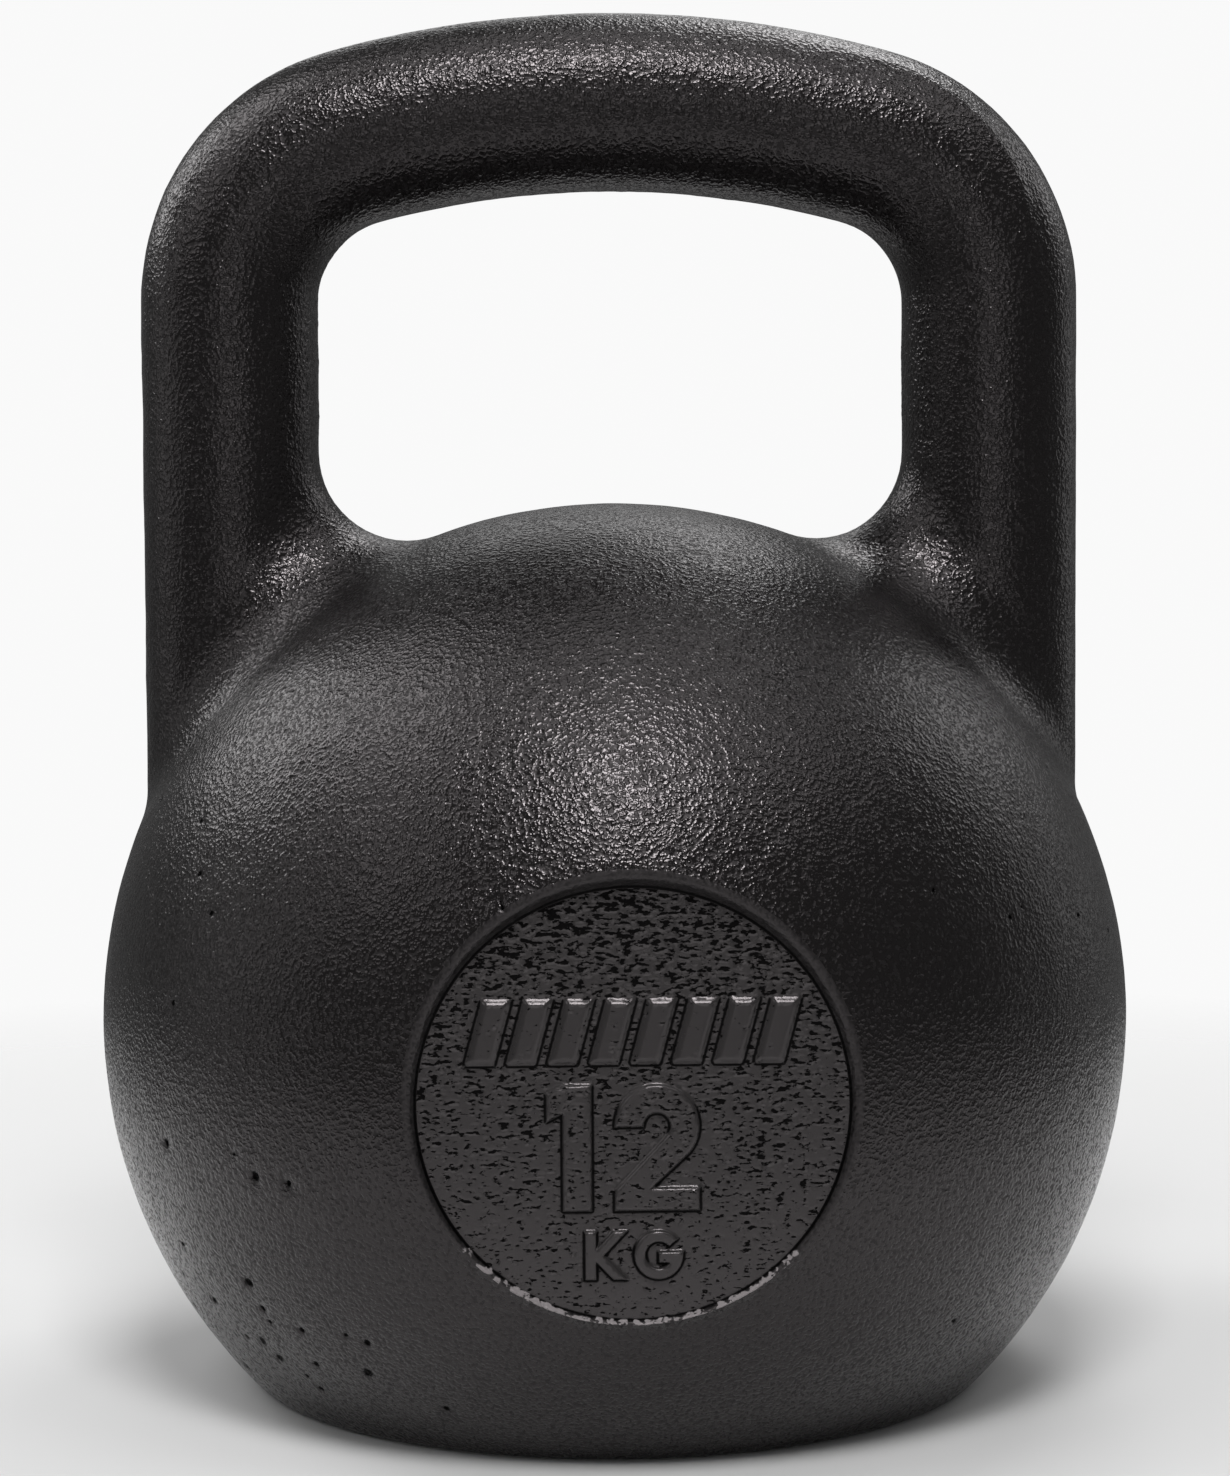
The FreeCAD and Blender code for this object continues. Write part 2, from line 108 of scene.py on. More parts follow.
# The raised marks: millimetres about the face's centre.
NUMERAL_LEFT = -15.5
NUMERAL_FOOT = -19.1
NUMERAL_HEIGHT = 22.6
NUMERAL_STROKE = 5.0
NUMERAL_ONE_WIDTH = 7.9
NUMERAL_TWO_WIDTH = 15.0
NUMERAL_TWO_LEFT = NUMERAL_LEFT + 12.2
UNIT_FOOT = -31.6
UNIT_HEIGHT = 8.8
UNIT_STROKE = 2.0
K_LEFT = -8.8
G_LEFT = 0.0
STRIPES = 8
STRIPE_PITCH = 7.4
STRIPE_FOOT = 7.6
STRIPE_HEIGHT = 11.0
STRIPE_WIDTH = 4.4
STRIPE_LEAN = 3.0

# Proportions of the signs, in strokes or heights; ends of arcs in degrees.
TWO_BOWL_END = -38
TWO_FOOT_THICKNESS = 0.8
TWO_SLANT_ON_FOOT = 1.3
TWO_SLANT_START = 0.7
K_WIDTH = 0.86
K_ARM_WIDTH = 1.25
K_ARM_MEETING = 0.55
G_OPENING = 40
G_BAR_RISE = 0.3

# How the marks stand up, the half widths of their sloping edges, and the painted shadow line along their
# feet.
MARK_RELIEF = 0.9 * MM
NUMERAL_EDGE = 0.32 * MM
UNIT_EDGE = 0.22 * MM
STRIPE_EDGE = 0.7 * MM
NUMERALS = 2
FOOT_SHADOW_WIDTH = 0.32 * MM

# Blow holes: how many lie in the cluster low on one side and how many stray, with the cluster's
# bearing and height angle in degrees.
CLUSTER_PITS = 20
STRAY_PITS = 44
CLUSTER_BEARING = -50
CLUSTER_BEARING_SPREAD = 12
CLUSTER_RISE = -29
CLUSTER_RISE_SPREAD = 8

# Finishes: the warm colour of the lamps painted into the paints' gloss, the size of the coat's lumps,
# and the painted shade that blackens their crevices.
PAINTED_LAMP_WARMTH = (1.0, 0.92, 0.94)
COAT_LUMP = 0.78 * MM
COAT_CREVICE_SHADE = (0.0003, 0.0003, 0.0003)
COAT_CREST = (0.0068, 0.0062, 0.0062)
# The crinkled paint: near black painted shade in its pocks, and the grey of its folds.
PAINT_POCK_SHADE = (0.0005, 0.0005, 0.0005)
PAINT_FOLD = (0.029, 0.027, 0.0272)
# The rim: its black, which also carries the painted shadow at its foot, and the light colour of the
# painted highlight on the burr.
RIM_DARK = (0.0004, 0.0004, 0.0004)
RIM_HIGHLIGHT = (0.24, 0.22, 0.224)
RIM_COAT_SHARE = 0.045

# The view: angles in degrees, the lens and film in millimetres.
VIEW_BEARING = -1.955
VIEW_RISE = 3.175
VIEW_ROLL = -0.327
VIEW_DISTANCE = 669.1 * MM
AIM_ABOVE_BALL = 56.55 * MM
LENS = 78.86
FILM_HEIGHT = 36
LENS_SHIFT = 0.00126

# The studio: lengths in metres, brightness of the surroundings as Blender's strength.
LIT_POINT = Vector((0, 0, 0.12))
LAMP_DISTANCE = 1.2
ROOM_LIGHT = 0.12
BACKDROP_LIGHT = 0.95

# The mould's marks on the bar: lengths in metres, turns round the bar in degrees from its outer side.
SEAM_LIFT = 0.28 * MM
SEAM_SPREAD = 4.5
SEAM_PATCH = 26 * MM
SEAM_GRAIN = 2.6 * MM
RIDGE_LIFT = 0.55 * MM
RIDGE_SPREAD = 6.0
RIDGE_TURN = 52.0
RIDGE_LEAN = -14.0
RIDGE_HEIGHT = 243 * MM
RIDGE_REACH = 13 * MM


# ---------------------------------------------------------------- node tree helpers


def new_tree(name, inputs):
    """An empty geometry tree with a geometry input and the named inputs given as (name, type)."""
    tree = bpy.data.node_groups.new(name, "GeometryNodeTree")
    tree.interface.new_socket("Geometry", in_out="INPUT", socket_type="NodeSocketGeometry")
    for label, kind in inputs:
        tree.interface.new_socket(label, in_out="INPUT", socket_type=kind)
    tree.interface.new_socket("Geometry", in_out="OUTPUT", socket_type="NodeSocketGeometry")
    return tree


def add_node(tree, kind, **settings):
    node = tree.nodes.new(kind)
    for name, value in settings.items():
        setattr(node, name, value)
    return node


def feed(tree, node, **sources):
    """Wire sockets or set plain values on a node's inputs, named with underscores for spaces."""
    for name, source in sources.items():
        socket = node.inputs[name.replace("_", " ")]
        if isinstance(source, bpy.types.NodeSocket):
            tree.links.new(source, socket)
        else:
            socket.default_value = source


def maths(tree, operation, *terms):
    """One math node on sockets or numbers; gives its output socket."""
    node = tree.nodes.new("ShaderNodeMath")
    node.operation = operation
    for socket, term in zip(node.inputs, terms):
        if isinstance(term, bpy.types.NodeSocket):
            tree.links.new(term, socket)
        else:
            socket.default_value = term
    return node.outputs[0]


def finish_tree(tree, geometry, *finishes):
    """End a tree in Realize Instances and a Set Material for each (material, faces) given."""
    real = add_node(tree, "GeometryNodeRealizeInstances")
    feed(tree, real, Geometry=geometry)
    painted = real
    for material, faces in finishes:
        before = painted
        painted = add_node(tree, "GeometryNodeSetMaterial")
        feed(tree, painted, Geometry=before.outputs[0], Material=material, Selection=faces)
    out = add_node(tree, "NodeGroupOutput")
    tree.links.new(painted.outputs[0], out.inputs["Geometry"])


def run_tree(piece, tree, values):
    """Evaluate the tree on a piece once and keep the result as its plain mesh."""
    modifier = piece.modifiers.new(tree.name, "NODES")
    modifier.node_group = tree
    for item in tree.interface.items_tree:
        if item.in_out == "INPUT" and item.name in values:
            modifier[item.identifier] = values[item.name]
    bpy.context.view_layer.update()
    evaluated = piece.evaluated_get(bpy.context.evaluated_depsgraph_get())
    mesh = bpy.data.meshes.new_from_object(evaluated)
    piece.modifiers.remove(modifier)
    old = piece.data
    piece.data = mesh
    mesh.name = piece.name
    bpy.data.meshes.remove(old)


def new_piece(name, mesh=None):
    piece = bpy.data.objects.new(name, mesh or bpy.data.meshes.new(name))
    bpy.context.scene.collection.objects.link(piece)
    return piece


# ---------------------------------------------------------------- the bar of the handle


def handle_path():
    """The bar's middle line: up a horn, round a corner, over the crown and down the other side."""
    inset = HORN_OFFSET - CORNER_RADIUS
    reach = CROWN_RADIUS - CORNER_RADIUS
    lean = math.asin(inset / reach)
    crown_centre = HANDLE_TOP - BAR_RADIUS - CROWN_RADIUS
    shoulder = crown_centre + math.sqrt(reach**2 - inset**2)
    foot = BALL_HEIGHT + BALL_RADIUS / 2
    crown_end = (CROWN_RADIUS * math.sin(lean), crown_centre + CROWN_RADIUS * math.cos(lean))

    def arc_handle(radius, angle):
        return radius * 4 / 3 * math.tan(angle / 4)

    straight = (shoulder - foot) / 3
    corner = arc_handle(CORNER_RADIUS, math.pi / 2 - lean)
    crown = arc_handle(CROWN_RADIUS, 2 * lean)
    rise = (math.cos(lean), math.sin(lean))
    knots = [
        (-HORN_OFFSET, foot, (0, 1), straight, straight),
        (-HORN_OFFSET, shoulder, (0, 1), straight, corner),
        (-crown_end[0], crown_end[1], rise, corner, crown),
        (crown_end[0], crown_end[1], (rise[0], -rise[1]), crown, corner),
        (HORN_OFFSET, shoulder, (0, -1), corner, straight),
        (HORN_OFFSET, foot, (0, -1), straight, straight),
    ]
    curve = bpy.data.curves.new("handle_path", "CURVE")
    curve.dimensions = "3D"
    curve.resolution_u = 64
    spline = curve.splines.new("BEZIER")
    spline.bezier_points.add(len(knots) - 1)
    for knot, (across, up, way, before, after) in zip(spline.bezier_points, knots):
        place = Vector((across, 0, up))
        heading = Vector((way[0], 0, way[1]))
        knot.co = place
        knot.handle_left_type = knot.handle_right_type = "FREE"
        knot.handle_left = place - heading * before
        knot.handle_right = place + heading * after
    path = bpy.data.objects.new("handle_path", curve)
    bpy.context.scene.collection.objects.link(path)
    return path, shoulder


def bar_tree():
    """A round bar of even thickness along a path."""
    tree = new_tree(
        "bar_along_path",
        [
            ("Path", "NodeSocketObject"),
            ("Bar radius", "NodeSocketFloat"),
            ("Sides", "NodeSocketInt"),
            ("Row length", "NodeSocketFloat"),
            ("Coat", "NodeSocketMaterial"),
        ],
    )
    given = add_node(tree, "NodeGroupInput").outputs
    path = add_node(tree, "GeometryNodeObjectInfo")
    rows = add_node(tree, "GeometryNodeResampleCurve", mode="LENGTH")
    section = add_node(tree, "GeometryNodeCurvePrimitiveCircle")
    bar = add_node(tree, "GeometryNodeCurveToMesh")
    feed(tree, path, Object=given["Path"])
    feed(tree, rows, Curve=path.outputs["Geometry"], Length=given["Row length"])
    feed(tree, section, Resolution=given["Sides"], Radius=given["Bar radius"])
    feed(tree, bar, Curve=rows.outputs[0], Profile_Curve=section.outputs[0])
    finish_tree(tree, bar.outputs[0], (given["Coat"], True))
    return tree


def blend_centre_height(across, along):
    """How high the rolling edge of the blend runs, over a place in the plan."""
    reach = BALL_RADIUS + HORN_BLEND
    return BALL_HEIGHT + np.sqrt(reach**2 - across**2 - along**2)


def bar_rows(coat):
    """Rings of points along the bar, its feet trimmed to where the blends into the ball begin."""
    path, shoulder = handle_path()
    piece = new_piece("handle_bar")
    sizes = {
        "Path": path,
        "Bar radius": BAR_RADIUS,
        "Sides": BAR_SIDES,
        "Row length": BAR_ROW,
        "Coat": coat,
    }
    run_tree(piece, bar_tree(), sizes)
    points = np.array([v.co for v in piece.data.vertices])
    bpy.data.objects.remove(piece)
    bpy.data.objects.remove(path)
    low = points[:, 2] < shoulder
    foot = points[:, 2].min()
    side = np.sign(points[:, 0])
    spread = (BAR_RADIUS + HORN_BLEND) / BAR_RADIUS
    across = side * HORN_OFFSET + (points[:, 0] - side * HORN_OFFSET) * spread
    trimmed = blend_centre_height(across[low], points[low, 1] * spread)
    share = (points[low, 2] - foot) / (shoulder - foot)
    points[low, 2] = trimmed + (shoulder - trimmed) * share
    return add_flash(points.reshape(-1, BAR_SIDES, 3))


def bell_curve(distance, width):
    return np.exp(-((distance / width) ** 2))


def add_flash(rows):
    """Leave the low seam where the mould's halves met on the bar, and a ridge on one shoulder."""
    middle = rows.mean(axis=1)
    ahead = np.gradient(middle, axis=0)
    ahead /= np.linalg.norm(ahead, axis=1)[:, None]
    outward = np.column_stack([-ahead[:, 2], np.zeros(len(ahead)), ahead[:, 0]])
    radial = (rows - middle[:, None]) / BAR_RADIUS
    turn = np.degrees(np.arctan2(-radial[..., 1], (radial * outward[:, None]).sum(axis=2)))
    length = np.arange(len(rows)) * BAR_ROW
    patchy = np.array([noise.noise(Vector((place / SEAM_PATCH, 3.1, 0))) for place in length])
    rough = np.array([noise.noise(Vector((place / SEAM_GRAIN, 7.7, 0))) for place in length])
    strength = smooth(0.55 + 1.1 * patchy) * (0.75 + 0.5 * rough)
    seam = bell_curve(turn, SEAM_SPREAD) + bell_curve(180 - np.abs(turn), SEAM_SPREAD)
    right = middle[:, 0] > 0
    climb = (middle[:, 2] - RIDGE_HEIGHT) / RIDGE_REACH
    far_off = 9
    near = np.where(right, np.abs(climb), far_off)
    ridge_turn = RIDGE_TURN + RIDGE_LEAN * np.where(right, climb, 0)
    ridge = bell_curve(turn - ridge_turn[:, None], RIDGE_SPREAD) * np.exp(-(near[:, None] ** 4))
    to_end = np.minimum(length, length[-1] - length)
    lift = SEAM_LIFT * seam * strength[:, None] + RIDGE_LIFT * ridge
    lift *= smooth(to_end / SEAM_PATCH)[:, None]
    return rows + radial * lift[..., None]


def blend_rows(ring):
    """Rings of the hollow rounding between a horn and the ball, from the horn's end ring down."""
    side = math.copysign(HORN_OFFSET, ring[:, 0].mean())
    outward = ring - np.array([side, 0, 0])
    outward[:, 2] = 0
    outward /= np.linalg.norm(outward, axis=1)[:, None]
    centre = ring + outward * HORN_BLEND
    to_ball = BALL_CENTRE - centre
    to_ball /= np.linalg.norm(to_ball, axis=1)[:, None]
    to_horn = -outward
    angle = np.arccos((to_horn * to_ball).sum(axis=1))
    rows = []
    for step in range(BLEND_ROWS + 1):
        share = step / BLEND_ROWS
        first = np.sin((1 - share) * angle) / np.sin(angle)
        second = np.sin(share * angle) / np.sin(angle)
        rows.append(centre + HORN_BLEND * (to_horn * first[:, None] + to_ball * second[:, None]))
    return rows


# ---------------------------------------------------------------- the sunk face


def arc_points(centre, radius, start, end, steps):
    angles = np.radians(np.linspace(start, end, steps + 1))
    return [(centre[0] + radius * math.cos(a), centre[1] + radius * math.sin(a)) for a in angles]


def numeral_one(left, foot, height, stroke, width):
    right = left + width
    top = foot + height
    flag = width - stroke
    return [
        (right, foot),
        (right, top),
        (right - stroke, top),
        (left, top - flag / 2),
        (left, top - flag / 2 - stroke),
        (right - stroke, top - stroke),
        (right - stroke, foot),
    ]


def numeral_two(left, foot, height, stroke, width):
    outer = width / 2
    centre = (left + outer, foot + height - outer)
    bar = TWO_FOOT_THICKNESS * stroke
    inner_bowl = arc_points(centre, outer - stroke, TWO_BOWL_END, 180, 16)
    outer_bowl = arc_points(centre, outer, 180, TWO_BOWL_END, 28)
    foot_bar = [
        (left + TWO_SLANT_ON_FOOT * stroke, foot + bar),
        (left + width, foot + bar),
        (left + width, foot),
        (left, foot),
        (left, foot + TWO_SLANT_START * stroke),
    ]
    return inner_bowl + outer_bowl + foot_bar


def letter_k(left, foot, height, stroke):
    top = foot + height
    middle = foot + height / 2
    stem = left + stroke
    tip = left + K_WIDTH * height
    arm = K_ARM_WIDTH * stroke
    return [
        (left, foot),
        (stem, foot),
        (stem, middle - 0.5 * arm),
        (tip - arm, foot),
        (tip, foot),
        (stem + K_ARM_MEETING * arm, middle),
        (tip, top),
        (tip - arm, top),
        (stem, middle + 0.5 * arm),
        (stem, top),
        (left, top),
    ]


def letter_g(left, foot, height, stroke):
    outer = height / 2
    inner = outer - stroke
    centre = (left + outer, foot + outer)
    bar_top = G_BAR_RISE * stroke
    bar_foot = bar_top - stroke
    outer_end = 360 + math.degrees(math.asin(bar_top / outer))
    inner_end = 360 + math.degrees(math.asin(bar_foot / inner))
    outer_ring = arc_points(centre, outer, G_OPENING, outer_end, 28)
    inner_ring = arc_points(centre, inner, inner_end, G_OPENING, 18)
    notch = [(centre[0], centre[1] + bar_top), (centre[0], centre[1] + bar_foot)]
    return outer_ring + notch + inner_ring


def stripe(middle, foot, height, width, lean):
    top = foot + height
    return [
        (middle - lean / 2 - width / 2, foot),
        (middle - lean / 2 + width / 2, foot),
        (middle + lean / 2 + width / 2, top),
        (middle + lean / 2 - width / 2, top),
    ]


def mark_outlines():
    """Outlines of the raised marks about the face's centre, each with the half width of its edge."""
    numeral = (NUMERAL_FOOT, NUMERAL_HEIGHT, NUMERAL_STROKE)
    unit = (UNIT_FOOT, UNIT_HEIGHT, UNIT_STROKE)
    marks = [
        (numeral_one(NUMERAL_LEFT, *numeral, NUMERAL_ONE_WIDTH), NUMERAL_EDGE),
        (numeral_two(NUMERAL_TWO_LEFT, *numeral, NUMERAL_TWO_WIDTH), NUMERAL_EDGE),
        (letter_k(K_LEFT, *unit), UNIT_EDGE),
        (letter_g(G_LEFT, *unit), UNIT_EDGE),
    ]
    for index in range(STRIPES):
        middle = (index - (STRIPES - 1) / 2) * STRIPE_PITCH
        bar = stripe(middle, STRIPE_FOOT, STRIPE_HEIGHT, STRIPE_WIDTH, STRIPE_LEAN)
        marks.append((bar, STRIPE_EDGE))
    return [(np.array(mark) * MM, edge) for mark, edge in marks]


def subdivide(outline, spacing):
    """The same closed outline with points no further apart than the spacing."""
    points = []
    for start, end in zip(outline, np.roll(outline, -1, axis=0)):
        count = max(1, math.ceil(np.linalg.norm(end - start) / spacing))
        points.extend(start + (end - start) * index / count for index in range(count))
    return np.array(points)


def signed_area(outline):
    after = np.roll(outline, -1, axis=0)
    return 0.5 * float(np.sum(outline[:, 0] * after[:, 1] - outline[:, 1] * after[:, 0]))


def grown(outline, distance):
    """The closed outline moved outwards by a distance, with mitred corners."""
    if signed_area(outline) < 0:
        outline = outline[::-1]
    edge = np.roll(outline, -1, axis=0) - outline
    edge /= np.linalg.norm(edge, axis=1)[:, None]
    outward = np.column_stack([edge[:, 1], -edge[:, 0]])
    before = np.roll(outward, 1, axis=0)
    mitre = outward + before
    mitre /= np.maximum(np.sum(mitre * outward, axis=1), 0.3)[:, None]
    return outline + mitre * distance


def inside(points, outline):
    """Which of the points lie inside a closed outline."""
    start = outline
    end = np.roll(outline, -1, axis=0)
    found = np.zeros(len(points), bool)
    for (x1, y1), (x2, y2) in zip(start, end):
        crosses = (y1 > points[:, 1]) != (y2 > points[:, 1])
        if y1 != y2:
            at = x1 + (points[:, 1] - y1) * (x2 - x1) / (y2 - y1)
            found ^= crosses & (points[:, 0] < at)
    return found


def depth_inside(points, outline):
    """Distance to an outline, positive for points inside it."""
    nearest = np.full(len(points), 1.0)
    for start, end in zip(outline, np.roll(outline, -1, axis=0)):
        way = end - start
        share = np.clip(((points - start) @ way) / (way @ way), 0, 1)
        nearest = np.minimum(nearest, np.linalg.norm(points - start - share[:, None] * way, axis=1))
    return np.where(inside(points, outline), nearest, -nearest)


def smooth(value):
    value = np.clip(value, 0, 1)
    return value * value * (3 - 2 * value)


def fill(points, loops):
    """Triangles over plane points, keeping every closed loop of point numbers as edges."""
    edges = [(a, b) for loop in loops for a, b in zip(loop, loop[1:] + loop[:1])]
    flat = [Vector(point) for point in points]
    result = delaunay_2d_cdt(flat, edges, [], 0, 1e-9)
    origin = [group[0] for group in result[3]]
    return [[origin[corner] for corner in face] for face in result[2]]


def clear_of(points, others, gap):
    """Which points keep a gap from all of the others."""
    tree = KDTree(len(others))
    for index, other in enumerate(others):
        tree.insert(Vector((*other, 0)) if len(other) == 2 else Vector(other), index)
    tree.balance()
    wanted = []
    for point in points:
        place = Vector((*point, 0)) if len(point) == 2 else Vector(point)
        wanted.append(tree.find(place)[2] > gap)
    return np.array(wanted)


def face_directions():
    angles = np.arange(RIM_STEPS) * 2 * math.pi / RIM_STEPS
    return np.column_stack([np.cos(angles), np.sin(angles)])


def face_point(way, out, forward):
    """A place given by its distance from the face's axis and its reach forward."""
    along = -np.broadcast_to(forward, len(way))
    return np.column_stack([way[:, 0] * out, along, way[:, 1] * out + FACE_HEIGHT])


def on_ball(way, out):
    """Where a distance from the face's axis comes out on the ball."""
    across = way[:, 0] * out
    up = way[:, 1] * out + FACE_HEIGHT - BALL_HEIGHT
    return np.sqrt(BALL_RADIUS**2 - across**2 - up**2)


def rim_reach(way):
    """How far from the face's axis its sloping wall meets the ball."""
    out = np.full(len(way), FACE_RADIUS)
    for _ in range(40):
        out = FACE_RADIUS + (on_ball(way, out) - FACE_REACH) * math.tan(FACE_DRAFT)
    return out


def burr_noise(way, layer):
    """Ragged values round the rim, with the directions as places in a noise field."""
    scaled = way / BURR_GRAIN
    return np.array([noise.noise(Vector((across, up, layer))) for across, up in scaled])


def burr_height(way):
    """How high the burr stands at each direction, from 0 where there is none; it lies low on the rim."""
    low = smooth(-1.8 * way[:, 1] - 0.9)
    return low * (0.8 + burr_noise(way, 0.5))


def paint_burr_highlight(places, on_face):
    """Where the painted highlight on the burr lies: a ragged light line just inside the low rim."""
    burr = np.zeros(len(places))
    low = on_face & (places[:, 1] < 0)
    reach = np.linalg.norm(places[low], axis=1)
    way = places[low] / reach[:, None]
    line = FACE_RADIUS + (BURR_LINE + BURR_WANDER * burr_noise(way, 3.5)) * MM
    # Painted highlight along the burr's upward face.
    burr[low] = bell_curve(reach - line, BURR_HIGHLIGHT_WIDTH) * smooth(1.6 * burr_height(way))
    return burr


def rim_rows():
    """Rings from the ball, over the softened rim, down the sloping wall to the sunk floor."""
    way = face_directions()
    rim = rim_reach(way)
    slant = (rim - FACE_RADIUS) / math.sin(FACE_DRAFT)
    lip = np.minimum(LIP, 0.5 * slant)
    toe = np.minimum(TOE, 0.3 * slant)

    def wall_point(share_from_rim):
        out = rim - share_from_rim * math.sin(FACE_DRAFT)
        forward = FACE_REACH + (out - FACE_RADIUS) / math.tan(FACE_DRAFT)
        return face_point(way, out, forward)

    outside = face_point(way, rim + lip, on_ball(way, rim + lip))
    burr_way = np.array([0, -1.0, -0.4])
    corner = wall_point(0 * lip) + BURR_LIFT * burr_height(way)[:, None] * burr_way
    wall_top = wall_point(lip)
    wall_foot = wall_point(slant - toe)
    floor_corner = wall_point(slant)
    floor = face_point(way, FACE_RADIUS - toe, FACE_REACH)

    def rounded(start, middle, end, steps):
        rows = []
        for index in range(steps + 1):
            t = index / steps
            rows.append((1 - t) ** 2 * start + 2 * t * (1 - t) * middle + t**2 * end)
        return rows

    rows = rounded(outside, corner, wall_top, 4)
    rows += [wall_top + (wall_foot - wall_top) * share for share in (1 / 4, 2 / 4, 3 / 4)]
    rows += rounded(wall_foot, floor_corner, floor, 3)
    return rows


def hexagonal_points(reach, spacing):
    """Evenly spread plane points in a square, nudged so that no rows show."""
    draw = random.Random(11)
    rows = int(2 * reach / (spacing * math.sqrt(3) / 2)) + 1
    columns = int(2 * reach / spacing) + 1
    points = []
    for row in range(rows):
        for column in range(columns):
            across = -reach + (column + 0.5 * (row % 2)) * spacing + draw.uniform(-0.12, 0.12) * spacing
            up = -reach + row * spacing * math.sqrt(3) / 2 + draw.uniform(-0.12, 0.12) * spacing
            points.append((across, up))
    return np.array(points)


def face_floor(edge_ring):
    """The sunk floor with its raised marks, inside the given ring."""
    edge = edge_ring[:, [0, 2]] - np.array([0, FACE_HEIGHT])
    marks = mark_outlines()
    loops = [edge]
    for mark, slope in marks:
        for distance in (-slope, 0.0, slope):
            loops.append(subdivide(grown(mark, distance), 0.6 * MM))
    spread = hexagonal_points(FACE_RADIUS, FACE_POINT_SPACING)
    spread = spread[inside(spread, edge)]
    lines = np.vstack(loops)
    spread = spread[clear_of(spread, lines, 0.5 * FACE_POINT_SPACING)]
    points = np.vstack([lines, spread])
    triangles = fill(points, loop_numbers(loops))
    height = np.zeros(len(points))
    for mark, slope in marks:
        depth = depth_inside(points, mark)
        height = np.maximum(height, MARK_RELIEF * smooth((depth + slope) / (2 * slope)))
    places = np.column_stack([points[:, 0], -FACE_REACH - height, points[:, 1] + FACE_HEIGHT])
    places[: len(edge_ring)] = edge_ring
    return places, triangles


# ---------------------------------------------------------------- the ball


def unroll(points):
    """The ball's surface laid out flat, seen from its lowest point."""
    local = (points - BALL_CENTRE) / BALL_RADIUS
    return local[:, :2] / (1 + local[:, 2])[:, None]


def even_points(spacing):
    """Evenly spread points on the ball, on one long spiral."""
    count = int(4 * math.pi * BALL_RADIUS**2 / (spacing**2 * math.sqrt(3) / 2))
    index = np.arange(count) + 0.5
    height = 1 - 2 * index / count
    turn = index * math.pi * (3 - math.sqrt(5))
    ring = np.sqrt(1 - height**2)
    points = np.column_stack([ring * np.cos(turn), ring * np.sin(turn), height])
    return BALL_CENTRE + BALL_RADIUS * points


def ring_on_ball(centre, reach, count):
    """Points on the ball in a small ring round a place on it."""
    normal = (centre - BALL_CENTRE) / BALL_RADIUS
    side = np.cross(normal, [0.0, 0.0, 1.0])
    side /= np.linalg.norm(side)
    other = np.cross(normal, side)
    angles = np.arange(count) * 2 * math.pi / count
    flat = np.outer(np.cos(angles), side) + np.outer(np.sin(angles), other)
    points = centre + reach * flat - BALL_CENTRE
    return BALL_CENTRE + BALL_RADIUS * points / np.linalg.norm(points, axis=1)[:, None]


def on_ball_at(azimuth, elevation):
    """A place on the ball by its bearing from the marked face and its height angle, in degrees."""
    turn = math.radians(azimuth)
    tilt = math.radians(elevation)
    way = [math.sin(turn) * math.cos(tilt), -math.cos(turn) * math.cos(tilt), math.sin(tilt)]
    return BALL_CENTRE + BALL_RADIUS * np.array(way)


def casting_pits():
    """Small blow holes of the casting, each as (place, radius, depth)."""
    draw = random.Random(5)
    pits = []
    for _ in range(CLUSTER_PITS):
        bearing = draw.gauss(CLUSTER_BEARING, CLUSTER_BEARING_SPREAD)
        place = on_ball_at(bearing, draw.gauss(CLUSTER_RISE, CLUSTER_RISE_SPREAD))
        pits.append((place, draw.uniform(0.6, 1.4) * MM, draw.uniform(0.4, 0.8) * MM))
    for _ in range(STRAY_PITS):
        place = on_ball_at(draw.uniform(-180, 180), draw.uniform(-38, 30))
        pits.append((place, draw.uniform(0.4, 0.8) * MM, draw.uniform(0.2, 0.4) * MM))
    return pits


def loop_numbers(loops):
    """The running numbers of the points of each loop, when the loops are stacked."""
    numbers = []
    start = 0
    for loop in loops:
        numbers.append(list(range(start, start + len(loop))))
        start += len(loop)
    return numbers


def within_openings(flat, outer, openings):
    """Which plane points lie inside the outer loop and outside every opening."""
    wanted = inside(flat, outer)
    for loop in openings:
        wanted &= ~inside(flat, loop)
    return wanted


def ball_patch(openings, base_ring, pits):
    """The ball's skin between the base ring and the openings for the horns and the face."""
    loops = [base_ring] + openings
    outer, *holes = [unroll(loop) for loop in loops]
    detail = [ring for place, reach, _ in pits for ring in pit_rings(place, reach)]
    detail = np.vstack(detail)
    spread = even_points(BALL_POINT_SPACING)
    spread = spread[clear_of(spread, detail, 0.7 * BALL_POINT_SPACING)]
    spread = np.vstack([detail, spread])
    spread = spread[within_openings(unroll(spread), outer, holes)]
    lines = np.vstack(loops)
    spread = spread[clear_of(spread, lines, 0.55 * BALL_POINT_SPACING)]
    points = np.vstack([lines, spread])
    plan = unroll(points)
    triangles = np.array(fill(plan, loop_numbers(loops)))
    middle = plan[triangles].mean(axis=1)
    return points, triangles[within_openings(middle, outer, holes)].tolist()


def pit_rings(place, reach):
    """Rings of points that give a blow hole its own fine mesh."""
    return [
        ring_on_ball(place, 0.01 * reach, 1),
        ring_on_ball(place, 0.45 * reach, 6),
        ring_on_ball(place, 0.9 * reach, 10),
        ring_on_ball(place, 1.5 * reach, 12),
    ]


# ---------------------------------------------------------------- the turned base and hollow


def turned_rows(outline):
    """Rings about the vertical axis, one for each (radius, height)."""
    angles = np.arange(TURN_STEPS) * 2 * math.pi / TURN_STEPS
    rows = []
    for radius, height in outline:
        ring = [radius * np.cos(angles), radius * np.sin(angles), np.full(TURN_STEPS, height)]
        rows.append(np.column_stack(ring))
    return rows


